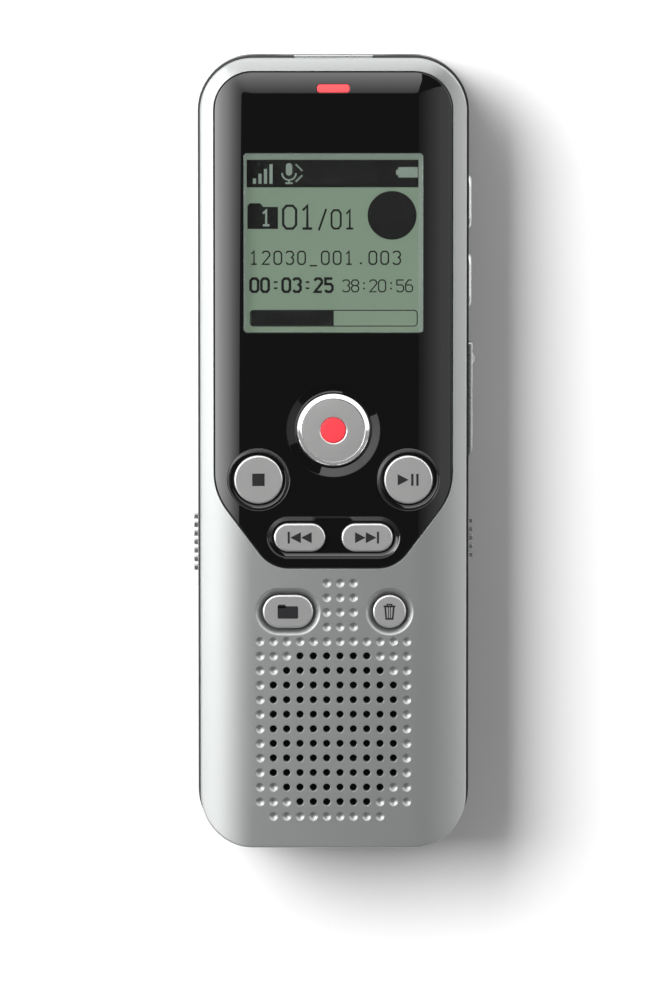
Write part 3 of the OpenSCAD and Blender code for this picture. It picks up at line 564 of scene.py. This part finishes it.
# The display glows by painted light, which stands in for the light that would reach it through the clear
# lens.
glow_lamp_or_painted("lcd", tone(124, 142, 124), 0.66, 0.5, rows_mm=0.19, Specular_IOR_Level=0.2)
finish("white_plastic", (0.72, 0.72, 0.70), 0.45, bump=0.2)
finish("light_guide", (0.78, 0.88, 0.80), 0.15, Transmission_Weight=0.6, IOR=1.49)
finish("flex_film", (0.55, 0.22, 0.04), 0.35, Coat_Weight=0.5, stretch=(12, 1, 1))
finish("circuit_board", (0.012, 0.09, 0.035), 0.3, grain_mm=1.4, mottle=0.25, Coat_Weight=0.6)
finish("chip_black", (0.018, 0.018, 0.02), 0.55, grain_mm=0.12, bump=0.4)
finish("plated_steel", (0.62, 0.62, 0.60), 0.24, 1.0, stretch=BRUSHED_X, bump=0.2)
finish("component_tan", (0.42, 0.29, 0.16), 0.5, grain_mm=0.4, mottle=0.2)
finish("speaker_grey", (0.25, 0.25, 0.26), 0.4, 0.8, bump=0.2)
finish("magnet_steel", (0.42, 0.42, 0.43), 0.3, 1.0, stretch=BRUSHED_X)
finish("cone_paper", (0.03, 0.03, 0.03), 0.85, grain_mm=0.5, mottle=0.3, bump=0.8, bump_mm=0.03)
finish("foam_black", (0.02, 0.02, 0.02), 0.95, grain_mm=0.35, mottle=0.3, bump=1.0, bump_mm=0.06)
finish("mesh_black", (0.004, 0.004, 0.004), 0.8, grain_mm=0.2, mottle=0.4, bump=1.0, bump_mm=0.04)
finish("wire_red", (0.5, 0.02, 0.015), 0.4, bump=0.1)
finish("capsule_metal", (0.5, 0.5, 0.49), 0.25, 1.0, bump=0.2)
finish("rubber_black", (0.016, 0.016, 0.016), 0.75, grain_mm=0.3, bump=0.4)
finish("socket_black", (0.02, 0.02, 0.021), 0.35, bump=0.2)
finish("cell_wrap", (0.50, 0.33, 0.07), 0.28, 0.5, grain_mm=0.8, Coat_Weight=0.7, Coat_Roughness=0.1)
finish("screw_black", (0.05, 0.05, 0.05), 0.35, 0.9, bump=0.3)
finish("key_chrome", (0.86, 0.86, 0.86), 0.05, 1.0, bump=0.02, rough_range=0.02, mottle=0.01)
finish("key_silver", (0.7, 0.7, 0.695), 0.36, 0.9, grain_mm=0.08, bump=0.12, bump_mm=0.006)
INK = finish("key_print", (0.014, 0.014, 0.015), 0.6, grain_mm=0.1, bump=0.2, Specular_IOR_Level=0.2)
LCD_INK = finish(
    "lcd_segment", (0.008, 0.008, 0.008), 0.6, grain_mm=0.19, mottle=0.12, bump=0.02,
    Specular_IOR_Level=0.1,
)
# The display's lighter border and light marks also glow by painted light.
LCD_EDGE = glow_lamp_or_painted("lcd_edge", tone(133, 147, 137), 0.66, 0.5, Specular_IOR_Level=0.2)


# ---------------------------------------------------------------- front shell and panel


def key_size(node):
    """Length and width of a front key's cap, from its flange."""
    full = size(node)
    return full[0] - 2 * FLANGE_EXTRA, full[1] - 2 * FLANGE_EXTRA


def key_outline(node, grow):
    length, width = key_size(node)
    return pill(middle(node)[:2], length + 2 * grow, width + 2 * grow)


def grid_places():
    """Places of the speaker grid's holes, and of its dimples."""
    holes, dimples = [], []
    for row in range(-5, len(HOLE_ROWS) + 1):
        for column in range(1, GRID_COLUMNS + 1):
            place = (
                (column - (GRID_COLUMNS + 1) / 2) * GRID_PITCH[0],
                GRID_FIRST_Y - row * GRID_PITCH[1],
            )
            if 0 <= row < len(HOLE_ROWS):
                first, last = HOLE_ROWS[row]
                (holes if first <= column <= last else dimples).append(place)
            elif row == -1 or (row == len(HOLE_ROWS) and 2 <= column <= GRID_COLUMNS - 2):
                dimples.append(place)
            elif row in MIDDLE_DIMPLE_ROWS and 6 <= column <= 8:
                dimples.append(place)
    return holes, dimples


def front_grid():
    """Points between the outlines where the front's surface curves."""
    sides = np.arange(FLAT_HALF, SHELL_HIGH[0], 0.5)
    sides = np.concatenate([-sides, sides])
    middles = np.arange(-10, 10.1, 2)
    rows = np.arange(SHELL_LOW[1], END_START, 2.2)
    end_rows = np.arange(END_START, SHELL_HIGH[1], 0.4)
    parts = [(sides, rows), (np.concatenate([sides, middles]), end_rows)]
    return np.concatenate([np.stack(np.meshgrid(x, y), -1).reshape(-1, 2) for x, y in parts])


def well(outer, inner, ease=0.07):
    """Rings of a sloping well, from its softly rounded edge down to the inner ring."""
    scale = 1 - ease * (1 - math.exp(-1 / ease))
    rings = []
    for t in (0, 0.03, 0.07, 0.12, 0.2, 0.32, 1):
        down = (t - ease * (1 - math.exp(-t / ease))) / scale
        share = np.array([t, t, down])
        rings.append(outer * (1 - share) + inner * share)
    return rings


def window_outline(node, grow, r):
    full = size(node)
    return subdivide(rounded_rect(middle(node)[:2], full[0] + 2 * grow, full[1] + 2 * grow, r), 1.5)


def add_front_shell():
    made = Solid()
    edge_r, seat_rim, hole_rim, seam_edge = 0.25, 0.05, 0.08, 0.12
    outline = subdivide(rounded_rect(SHELL_MIDDLE, SHELL_W, SHELL_L, SHELL_CORNER, 20), 1.5)
    panel = panel_outline()
    seat = offset(panel, PANEL_GAP)
    grid = front_grid()
    holes, dimples = grid_places()

    # Outer wall, seam edge and inner wall
    edge = rounded_edge(outline, edge_r, front_z, 5)
    bottom = SHELL_LOW[2]
    inner = offset(outline, -SHELL_WALL)
    inner_top = on_front(inner, FACE_WALL)
    made.strip(
        *edge,
        at_height(outline, bottom + seam_edge),
        at_height(offset(outline, -seam_edge), bottom),
        at_height(inner, bottom),
        inner_top,
    )

    # Seat of the panel: its rounded edge, its wall, its floor and the underside of the floor
    seat_rings = rounded_edge(seat, seat_rim, front_z, cut=True)
    made.strip(*seat_rings, on_front(seat, SEAT_DEPTH))
    ledge = offset(panel, 0.2)
    made.strip(on_front(ledge, FACE_WALL), on_front(ledge, LEDGE_DEPTH))
    window = window_outline("lcd_glass", 0.2, 0.3)
    lamp = window_outline("led_light_pipe", 0.1, 0.45)
    floor_holes = [window, lamp] + [key_outline(k, KEY_GAP) for k in PANEL_KEYS]
    for loop in floor_holes:
        made.strip(on_front(loop, SEAT_DEPTH), on_front(loop, LEDGE_DEPTH))
    made.skin(seat, floor_holes, below_front(SEAT_DEPTH), grid=grid)
    made.skin(ledge, floor_holes, below_front(LEDGE_DEPTH), grid=grid)

    # Wells and holes of the two keys in the shell
    outer_holes, inner_holes = [seat_rings[0][:, :2]], [ledge]
    for node in SHELL_KEYS:
        rim = key_outline(node, SHELL_WELL_RIM)
        hole = key_outline(node, KEY_GAP)
        floor = at_height(hole, FRONT_Z - SHELL_WELL_DEPTH)
        made.strip(*well(on_front(rim), floor), on_front(hole, FACE_WALL))
        outer_holes.append(rim)
        inner_holes.append(hole)

    # Speaker grid
    for place in holes:
        hole = circle(place, HOLE_R, 20)
        rings = rounded_edge(hole, hole_rim, FRONT_Z, 3, cut=True)
        made.strip(*rings, at_height(hole, FRONT_Z - FACE_WALL))
        outer_holes.append(rings[0][:, :2])
        inner_holes.append(hole)
    ball_r = (DIMPLE_R**2 + DIMPLE_DEPTH**2) / (2 * DIMPLE_DEPTH)
    for place in dimples:
        rings = [at_height(circle(place, DIMPLE_R + 0.07, 20), FRONT_Z)]
        for r in (0.98, 0.85, 0.65, 0.4, 0.15):
            r *= DIMPLE_R
            z = FRONT_Z + ball_r - DIMPLE_DEPTH - math.sqrt(ball_r**2 - r**2)
            rings.append(at_height(circle(place, r, 20), z))
        made.strip(*rings)
        made.cap(rings[-1])
        outer_holes.append(rings[0][:, :2])

    made.skin(edge[0][:, :2], outer_holes, front_z, front_normal, grid)
    made.skin(inner, inner_holes, below_front(FACE_WALL), grid=grid)

    # Screw bosses and the ring round the speaker, inside
    for place in CASE_SCREWS:
        tube(made, place, CASE_BOSS_R, SCREW_HOLE_R, SHELL_LOW[2], FRONT_Z - FACE_WALL - 0.15)
    for place in BOARD_SCREWS:
        tube(made, place, BOARD_BOSS_R, SCREW_HOLE_R, SHELL_LOW[2] + 0.02, FRONT_Z - LEDGE_DEPTH + 0.1)
    speaker = middle("speaker_frame")[:2]
    ring_r = size("speaker_frame")[0] / 2 + 0.1
    tube(made, speaker, ring_r + 0.7, ring_r, SHELL_LOW[2] + 1.3, FRONT_Z - FACE_WALL + 0.1, 64)
    return made.piece("front_cover", "case", "silver_case", ["front_shell"])


def add_panel():
    made = Solid()
    outline = panel_outline()
    grid = front_grid()
    edge = rounded_edge(outline, 0.15, below_front(PANEL_SUNK))
    low = PANEL_SUNK + PANEL_T
    made.strip(*edge, on_front(outline, low))
    window = window_outline("display_lens", 0.05, 0.5)
    lamp = window_outline("led_light_pipe", 0.05, 0.42)
    top_holes, low_holes = [], []
    for loop in (window, lamp):
        rings = rounded_edge(loop, 0.06, below_front(PANEL_SUNK), 3, cut=True)
        made.strip(*rings, on_front(loop, low))
        top_holes.append(rings[0][:, :2])
        low_holes.append(loop)
    # The wells of the single keys: how far the foot and the rim of each lie outside its key
    floor = PANEL_SUNK + PANEL_WELL_DEPTH
    wells = (("record_button", KEY_GAP, 1.45), ("stop_button", 0.5, 1.0), ("play_button", 0.5, 1.0))
    for node, foot, rim in wells:
        hole = key_outline(node, KEY_GAP)
        rim = key_outline(node, rim)
        made.strip(*well(on_front(rim, PANEL_SUNK), on_front(key_outline(node, foot), floor), 0.03))
        if foot > KEY_GAP:
            made.strip(on_front(key_outline(node, foot), floor), on_front(hole, floor))
        made.strip(on_front(hole, floor), on_front(hole, low))
        top_holes.append(rim)
        low_holes.append(hole)

    # One well holds both skip keys
    left, right = middle("rewind_button"), middle("forward_button")
    length, width = key_size("rewind_button")
    centre = (left + right)[:2] / 2
    span = right[0] - left[0] + length
    rim = pill(centre, span + 2, width + 2)
    foot = pill(centre, span + 0.8, width + 0.8)
    made.strip(*well(on_front(rim, PANEL_SUNK), on_front(foot, floor), 0.03))
    top_holes.append(rim)
    skip_holes = [key_outline(node, KEY_GAP) for node in ("rewind_button", "forward_button")]
    made.skin(foot, skip_holes, below_front(floor))
    for hole in skip_holes:
        made.strip(on_front(hole, floor), on_front(hole, low))
        low_holes.append(hole)

    made.skin(edge[0][:, :2], top_holes, below_front(PANEL_SUNK), panel_normal, grid)
    made.skin(outline, low_holes, below_front(low), grid=grid)
    return made.piece("panel", "case", "gloss_panel", ["front_panel"])


def add_insert(name, node, edge_r, corner_r, slot):
    """A flush piece in the panel, whose top follows the front's surface."""
    made = Solid()
    outline = window_outline(node, 0, corner_r)
    low = box_mm(node)[0][2]
    edge = rounded_edge(outline, edge_r, below_front(PANEL_SUNK), 3)
    made.strip(*edge, at_height(outline, low))
    made.cap(at_height(outline, low))
    made.skin(edge[0][:, :2], [], below_front(PANEL_SUNK), panel_normal, front_grid())
    return made.piece(name, "case", slot, [node])


# ---------------------------------------------------------------- display


class Drawing:
    """Thin shapes on one face, drawn from an origin of their own, all in one piece."""

    def __init__(self, z0, z1, origin=(0, 0)):
        self.solid, self.z0, self.z1, self.origin = Solid(), z0, z1, np.array(origin, float)

    def shape(self, loop):
        loop = np.array(loop, float) + self.origin
        area = np.cross(loop, np.roll(loop, -1, 0)).sum()
        prism(self.solid, loop if area > 0 else loop[::-1], self.z0, self.z1)

    def bar(self, x, y, w, h):
        self.shape([(x, y), (x + w, y), (x + w, y + h), (x, y + h)])

    def line(self, points, width, closed=False):
        """A stroke of even width through the points."""
        points = np.array(points, float)
        before, after = np.roll(points, 1, 0), np.roll(points, -1, 0)
        if not closed:
            before[0] = 2 * points[0] - points[1]
            after[-1] = 2 * points[-1] - points[-2]
        into = points - before
        out = after - points
        into /= np.linalg.norm(into, axis=1)[:, None]
        out /= np.linalg.norm(out, axis=1)[:, None]
        side_in = np.stack([-into[:, 1], into[:, 0]], 1)
        side_out = np.stack([-out[:, 1], out[:, 0]], 1)
        mitre = side_in + side_out
        mitre /= np.linalg.norm(mitre, axis=1)[:, None]
        reach = mitre * (width / 2 / np.maximum((mitre * side_out).sum(1), 0.5))[:, None]
        left, right = points + reach, points - reach
        if not closed:
            self.shape(np.concatenate([left, right[::-1]]))
            return
        rings = [left + self.origin, right + self.origin]
        if np.cross(left, np.roll(left, -1, 0)).sum() < np.cross(right, np.roll(right, -1, 0)).sum():
            rings = rings[::-1]
        outer, inner = rings
        rings = [
            at_height(outer, self.z0), at_height(outer, self.z1),
            at_height(inner, self.z1), at_height(inner, self.z0),
        ]
        self.solid.strip(*rings, rings[0])


# Strokes of the numerals on a field 4 wide and 6 high
NUMERALS = {
    "0": [[(1, 0), (3, 0), (4, 1), (4, 5), (3, 6), (1, 6), (0, 5), (0, 1)]],
    "1": [[(0.6, 4.8), (2, 6), (2, 0.25)], [(0.5, 0), (3.5, 0)]],
    "2": [[(0, 5), (1, 6), (3, 6), (4, 5), (4, 4), (0.2, 0), (4, 0)]],
    "3": [[(0, 5.2), (1, 6), (3, 6), (4, 5), (4, 4), (3, 3.2), (4, 2.4), (4, 1), (3, 0), (1, 0), (0, 0.8)]],
    "5": [[(4, 6), (0.2, 6), (0.2, 3.5), (3, 3.5), (4, 2.6), (4, 1), (3, 0), (1, 0), (0, 0.8)]],
    "6": [[(3.5, 6), (1.6, 6), (0, 4), (0, 1), (1, 0), (3, 0), (4, 1), (4, 2.6), (3, 3.5), (0.4, 3.5)]],
    "8": [
        [(1, 3.2), (0, 4), (0, 5), (1, 6), (3, 6), (4, 5), (4, 4), (3, 3.2)],
        [(1, 3.2), (0, 2.3), (0, 1), (1, 0), (3, 0), (4, 1), (4, 2.3), (3, 3.2)],
    ],
    "/": [[(0.4, -0.6), (3.6, 6.4)]],
    "_": [[(0, -0.7), (4, -0.7)]],
    ":": [[(2, 1.2), (2, 2.0)], [(2, 4.0), (2, 4.8)]],
    ".": [[(2, 0), (2, 0.8)]],
}
CLOSED_NUMERALS = "08"


def write(drawing, text, x, y, w, h, pitch, stroke):
    """Numerals of width w and height h from x, y, one every pitch."""
    scale = np.array([w / 4, h / 6])
    for i, mark in enumerate(text):
        start = np.array([x + i * pitch, y])
        dot = mark in ":."
        for points in NUMERALS[mark]:
            line = np.array(points) * scale + start
            drawing.line(line, stroke * (1.4 if dot else 1), mark in CLOSED_NUMERALS)


def add_display():
    centre = middle("display_lens")
    glass_low, glass_high = box_mm("lcd_glass")
    mid = (glass_low[:2] + glass_high[:2]) / 2
    step_z = (glass_low[2] + glass_high[2]) / 2
    w, l = (glass_high - glass_low)[:2]
    glass = Solid()
    prism(glass, rounded_rect(mid, w, l, 0.2, 3), glass_low[2], step_z, 0.08)
    prism(glass, rounded_rect(mid + [0, 1], w, l - 2, 0.2, 3), step_z, glass_high[2] - 0.05, 0.08)
    # The cell glows at its edges by painted light.
    glass.piece("lcd_cell", "case", "lcd", ["lcd_glass"], LCD_EDGE)

    left, low = centre[0] - 11.7, centre[1] - 12.25
    top_z = glass_high[2]
    field = Solid()
    # The field glows by the display's painted light.
    painted_glow_area = rounded_rect((centre[0] - 0.1, centre[1] - 0.4), 23.2, 23.6, 0.25, 3)
    prism(field, painted_glow_area, top_z - 0.05, top_z - 0.03)
    field.piece("lcd_field", "case", "lcd")

    ink = Drawing(top_z - 0.03, top_z - 0.01, (left, low))
    # Header, folder mark, counters and the status disc
    ink.bar(0, 19.75, 23.2, 3.75)
    folder = [
        (0.1, 14.1), (4.2, 14.1), (4.2, 17.1), (2.2, 17.1), (1.8, 17.6), (0.4, 17.6), (0.1, 17.2),
    ]
    ink.shape(folder)
    write(ink, "01", 4.9, 14.15, 1.75, 3.1, 2.4, 0.33)
    write(ink, "/01", 9.6, 14.15, 1.25, 2.5, 1.85, 0.27)
    ink.shape(circle((19.65, 15.95), 3.32, 56))
    write(ink, "12030_001.003", 0.45, 9.3, 1.0, 1.75, 1.61, 0.2)
    write(ink, "00:03:25", 0.5, 5.55, 1.0, 1.8, 1.44, 0.36)
    write(ink, "38:20:56", 12.95, 5.55, 0.95, 1.6, 1.22, 0.17)
    # Progress bar
    bar = rounded_rect((11.75, 1.95), 22.6, 2.15, 0.45, 4)
    ink.line(bar, 0.13, True)
    ink.bar(0.55, 0.95, 11.2, 2.0)
    ink.solid.piece("lcd_segments", "case", "lcd", material=LCD_INK)

    # Light marks: level bars, a microphone and a battery on the header, and the folder's numeral. They glow
    # by the display's painted light.
    light = Drawing(top_z - 0.01, top_z - 0.005, (left, low))
    for i in range(4):
        light.bar(0.8 + 0.75 * i, 20.25, 0.42, 0.7 + 0.65 * i)
    light.shape(pill_up((5.7, 22.2), 0.85, 1.7))
    light.line(arc((5.7, 21.7), 0.95, 180, 360, 12), 0.22)
    light.bar(5.58, 20.3, 0.24, 0.5)
    light.bar(5.2, 20.2, 1.0, 0.25)
    light.line([(6.6, 20.5), (7.5, 21.4)], 0.22)
    light.line([(6.6, 22.9), (7.5, 22.0)], 0.22)
    battery = [
        (20.5, 21.1), (23.1, 21.1), (23.1, 22.5), (20.5, 22.5),
        (20.5, 22.15), (20.2, 22.15), (20.2, 21.45), (20.5, 21.45),
    ]
    light.shape(battery)
    write(light, "1", 2.0, 14.6, 1.2, 2.0, 1, 0.3)
    light.solid.piece("lcd_light_marks", "case", "lcd", material=LCD_EDGE)


# ---------------------------------------------------------------- front keys


def key_body(made, node, top, low_z):
    """A key's cap with a rounded rim, its flange and its stem, as rings from the top down."""
    length, width = key_size(node)
    centre = middle(node)[:2]
    cap = pill(centre, length, width)
    flange = pill(centre, length + 2 * FLANGE_EXTRA, width + 2 * FLANGE_EXTRA)
    stem = pill(centre, 2 * STEM_R, 2 * STEM_R)
    rim = rounded_edge(cap, KEY_RIM, top, 5)
    made.strip(
        *rim,
        at_height(cap, FLANGE_TOP),
        at_height(flange, FLANGE_TOP),
        at_height(flange, FLANGE_TOP - FLANGE_T),
        at_height(stem, FLANGE_TOP - FLANGE_T),
        at_height(stem, low_z),
    )
    made.cap(at_height(stem, low_z))
    return rim[0]


def add_key(node, body, marks):
    """A silver key and its printed marks, which are drawn from the key's middle."""
    low, high = box_mm(node)
    made = Solid()
    made.cap(key_body(made, node, high[2], low[2]))
    made.piece(node + "_cap", body, "key_silver", [node])
    print_on_key = Drawing(high[2] - 0.02, high[2] + 0.006, middle(node)[:2])
    marks(print_on_key)
    print_on_key.solid.piece(node + "_mark", body, "key_silver", material=INK)


def stop_mark(drawing):
    drawing.bar(-0.85, -0.85, 1.7, 1.7)


def play_mark(drawing):
    drawing.shape([(-1.45, -0.78), (0.05, 0), (-1.45, 0.78)])
    drawing.bar(0.38, -0.82, 0.32, 1.64)
    drawing.bar(1.08, -0.82, 0.32, 1.64)


def skip_mark(drawing, way):
    """Two triangles and a bar that point forwards if way is 1 and back if it is -1."""
    for start in (-1.65, -0.18):
        drawing.shape([(way * start, -0.75), (way * (start + 1.45), 0), (way * start, 0.75)])
    drawing.shape([(way * x, y) for x, y in ((1.33, -0.8), (1.62, -0.8), (1.62, 0.8), (1.33, 0.8))])


def folder_mark(drawing):
    body = rounded_rect((0, -0.12), 2.8, 1.7, 0.18, 3)
    drawing.shape(body)
    drawing.shape([(-1.4, 0.5), (-0.25, 0.5), (-0.25, 0.78), (-0.45, 0.96), (-1.22, 0.96), (-1.4, 0.8)])


def bin_mark(drawing):
    drawing.bar(-0.8, 0.58, 1.6, 0.26)
    drawing.line([(-0.32, 0.8), (-0.32, 0.98), (0.32, 0.98), (0.32, 0.8)], 0.18)
    drawing.line([(-0.58, 0.6), (-0.44, -1.0), (0.44, -1.0), (0.58, 0.6)], 0.24)
    for x in (-0.14, 0.14):
        drawing.bar(x - 0.06, -0.9, 0.12, 1.5)


def add_record_key():
    centre = middle("record_button")[:2]
    low, high = box_mm("record_button")
    top = high[2]
    face_r = size("record_button_face")[0] / 2
    dot_r = size("record_button_dot")[0] / 2 - 0.08
    cap_r = key_size("record_button")[0] / 2
    ring = Solid()

    def at(r, z):
        return at_height(circle(centre, r, 72), z)

    rings = [
        at(face_r + 0.03, top - 0.4), at(face_r + 0.03, top - 0.05), at(face_r + 0.05, top - 0.01),
        at(face_r + 0.09, top), at(face_r + 0.13, top - 0.02), at(cap_r - 0.04, top - 0.42),
        at(cap_r, top - 0.52), at(cap_r, FLANGE_TOP), at(cap_r + FLANGE_EXTRA, FLANGE_TOP),
        at(cap_r + FLANGE_EXTRA, FLANGE_TOP - FLANGE_T), at(STEM_R, FLANGE_TOP - FLANGE_T),
        at(STEM_R, low[2]),
    ]
    ring.strip(*rings)
    ring.cap(rings[0])
    ring.cap(rings[-1])
    ring.piece("record_key_ring", "record_key", "key_chrome", ["record_button"])

    face = Solid()
    face_top = top - 0.05
    profile = [
        (face_r, top - 0.4), (face_r, face_top - 0.04), (face_r - 0.04, face_top),
        (dot_r + 0.24, face_top), (dot_r + 0.2, face_top - 0.01), (dot_r + 0.05, face_top - 0.14),
        (dot_r + 0.05, top - 0.4),
    ]
    rings = [at(r, z) for r, z in profile]
    face.strip(*rings, rings[0])
    face.piece("record_key_face", "record_key", "key_silver", ["record_button_face"])

    dot = Solid()
    dot_top = face_top - 0.03
    profile = [(dot_r, top - 0.4), (dot_r, dot_top - 0.12), (dot_r - 0.05, dot_top - 0.05)]
    profile += [(dot_r * r, dot_top - 0.04 * r * r) for r in (0.9, 0.7, 0.4, 0.15)]
    rings = [at(r, z) for r, z in profile]
    dot.strip(*rings)
    dot.cap(rings[0])
    dot.cap(rings[-1])
    dot.piece("record_key_dot", "record_key", "record_red", ["record_button_dot"])


# ---------------------------------------------------------------- carried-over CAD nodes


def soften(node, width_mm, segments=2, clamp=True):
    """Small rounded edges on a CAD node, by modifiers."""
    node = frame["nodes"][node]
    joined = node.modifiers.new("joined_corners", "WELD")
    joined.merge_threshold = 0.002 * MM
    plain = node.modifiers.new("plain_faces", "DECIMATE")
    plain.decimate_type = "DISSOLVE"
    plain.angle_limit = math.radians(1)
    edge = node.modifiers.new("soft_edges", "BEVEL")
    edge.width = width_mm * MM
    edge.segments = segments
    edge.use_clamp_overlap = clamp
    edge.limit_method = "ANGLE"
    edge.angle_limit = math.radians(40)
    even = node.modifiers.new("even_shading", "WEIGHTED_NORMAL")
    even.keep_sharp = True


def finish_cad_nodes():
    """Every CAD node takes its slot's material, and those seen from outside get rounded edges."""
    for part in frame["record"]["subparts"]:
        node = frame["nodes"][part["node"]]
        node.data.materials.clear()
        node.data.materials.append(MATERIALS[part["material_slot"]])
    for node in ("back_shell", "battery_door"):
        soften(node, 0.18, 3)
    soften("card_cover", 0.25, clamp=False)
    for node in (
        "microphone_trim", "headphone_socket", "microphone_socket", "usb_socket", "card_socket",
        "volume_up_key", "volume_down_key", "hold_slider", "mode_slider",
        "case_screws", "battery_left", "battery_right",
    ):
        soften(node, 0.12)


# ---------------------------------------------------------------- floor, light and camera


def add_floor():
    mesh = bpy.data.meshes.new("floor")
    reach = 3.0
    corners = [(-reach, -reach, 0), (reach, -reach, 0), (reach, reach, 0), (-reach, reach, 0)]
    mesh.from_pydata(corners, [], [(0, 1, 2, 3)])
    floor = bpy.data.objects.new("floor", mesh)
    floor.location.z = -0.05 * MM
    scene.collection.objects.link(floor)
    white = (0.86, 0.86, 0.86)
    made = finish("floor_white", white, 0.9, grain_mm=2, mottle=0.004, bump=0, Specular_IOR_Level=0.1)
    mesh.materials.append(made)


SOFTBOX_HEIGHT = 0.92


def add_softbox(name, x, y, near, far, gap, corner=0.13, reach=0.9, side=1.0):
    """A flat soft light above the object, dark within a gap that has one rounded corner.

    x and y give its ends in metres. The gap lies in front of gap[1] and inward of gap[0], which is
    to its right, or to its left where side is -1 and gap[0] is counted leftward. The radiance goes
    from near at the gap's edge to far at reach metres from it. It fades to 0.6 of that from
    0.25 metres outside gap[0] to 0.1 metres inside it.
    """
    light = bpy.data.lights.new(name, "AREA")
    light.shape = "RECTANGLE"
    light.size, light.size_y = x[1] - x[0], y[1] - y[0]
    light.energy = math.pi * light.size * light.size_y
    light.use_nodes = True
    tree = light.node_tree
    place = tree.nodes.new("ShaderNodeNewGeometry")
    axes = tree.nodes.new("ShaderNodeSeparateXYZ")
    tree.links.new(place.outputs["Position"], axes.inputs["Vector"])
    across = maths(tree, "MULTIPLY", axes.outputs["X"], side)
    left = maths(tree, "MAXIMUM", maths(tree, "SUBTRACT", gap[0] + corner, across), 0.0)
    back = maths(tree, "MAXIMUM", maths(tree, "SUBTRACT", axes.outputs["Y"], gap[1] - corner), 0.0)
    squares = maths(tree, "ADD", maths(tree, "POWER", left, 2.0), maths(tree, "POWER", back, 2.0))
    away = maths(tree, "SUBTRACT", maths(tree, "POWER", squares, 0.5), corner)
    growing = ramp(tree, away, 0.0, reach, near, far)
    lit = maths(tree, "MULTIPLY", growing, maths(tree, "GREATER_THAN", away, 0.0))
    fade = ramp(tree, across, gap[0] - 0.25, gap[0] + 0.1, 1.0, 0.6)
    strength = maths(tree, "MULTIPLY", lit, fade)
    tree.links.new(strength, tree.nodes["Emission"].inputs["Strength"])
    made = bpy.data.objects.new(name, light)
    scene.collection.objects.link(made)
    made.location = (sum(x) / 2, sum(y) / 2, SOFTBOX_HEIGHT)
    made.visible_diffuse = False


def add_key_light():
    """The light that throws the shadow, which shows in no reflection."""
    light = bpy.data.lights.new("key_light", "AREA")
    light.shape = "RECTANGLE"
    light.size, light.size_y = 0.95, 0.85
    light.energy = 31
    made = bpy.data.objects.new("key_light", light)
    scene.collection.objects.link(made)
    made.location = (-0.785, 0.42, 1.0)
    made.visible_glossy = False


def add_world():
    """A dim room with a pale wall low down behind the object and round to its sides."""
    world = bpy.data.worlds.new("studio")
    scene.world = world
    world.use_nodes = True
    tree = world.node_tree
    place = tree.nodes.new("ShaderNodeTexCoord")
    axes = tree.nodes.new("ShaderNodeSeparateXYZ")
    tree.links.new(place.outputs["Generated"], axes.inputs["Vector"])
    behind = ramp(tree, axes.outputs["Y"], -0.12, 0.06, 0.3, 2.6, "SMOOTHSTEP")
    low_down = ramp(tree, axes.outputs["Z"], 0.35, 0.68, 1.0, 0.0, "SMOOTHSTEP")
    wall = maths(tree, "MULTIPLY", behind, low_down)
    background = tree.nodes["Background"]
    background.inputs["Color"].default_value = (1, 1, 1, 1)
    tree.links.new(maths(tree, "ADD", wall, 0.06), background.inputs["Strength"])


def add_lights():
    """A bent softbox over the left and far sides, a weak one on the right, the key light, the room."""
    add_softbox("bent_softbox", (-2.4, 0.15), (-0.25, 0.9), 1.0, 5.9, (-0.42, 0.125), corner=0.3)
    add_softbox("right_softbox", (0.2, 1.2), (-0.4, 0.1), 0.1, 0.65, (-0.2, 0.4), reach=0.6, side=-1.0)
    add_key_light()
    add_world()


def add_camera():
    """A long lens from above, leaning a little towards the microphone end."""
    distance, lean = 1.0, math.radians(4.5)
    seen_height = 0.136147
    target = Vector((0.00002, -0.00634, FRONT_Z * MM))
    camera = bpy.data.cameras.new("camera")
    camera.sensor_width = 36
    camera.lens = camera.sensor_width * distance / seen_height
    made = bpy.data.objects.new("camera", camera)
    scene.collection.objects.link(made)
    made.location = target + distance * Vector((0, math.sin(lean), math.cos(lean)))
    made.rotation_euler = (-lean, 0, 0)
    scene.camera = made


add_front_shell()
add_panel()
add_insert("window_lens", "display_lens", 0.05, 0.5, "clear_lens")
add_insert("lamp_lens", "led_light_pipe", 0.1, 0.42, "red_lens")
add_display()
add_key("stop_button", "stop_key", stop_mark)
add_key("play_button", "play_key", play_mark)
add_key("rewind_button", "rewind_key", lambda drawing: skip_mark(drawing, -1))
add_key("forward_button", "forward_key", lambda drawing: skip_mark(drawing, 1))
add_key("folder_button", "folder_key", folder_mark)
add_key("delete_button", "delete_key", bin_mark)
add_record_key()
finish_cad_nodes()
add_floor()
add_lights()
add_camera()
scene.view_settings.view_transform = "Standard"
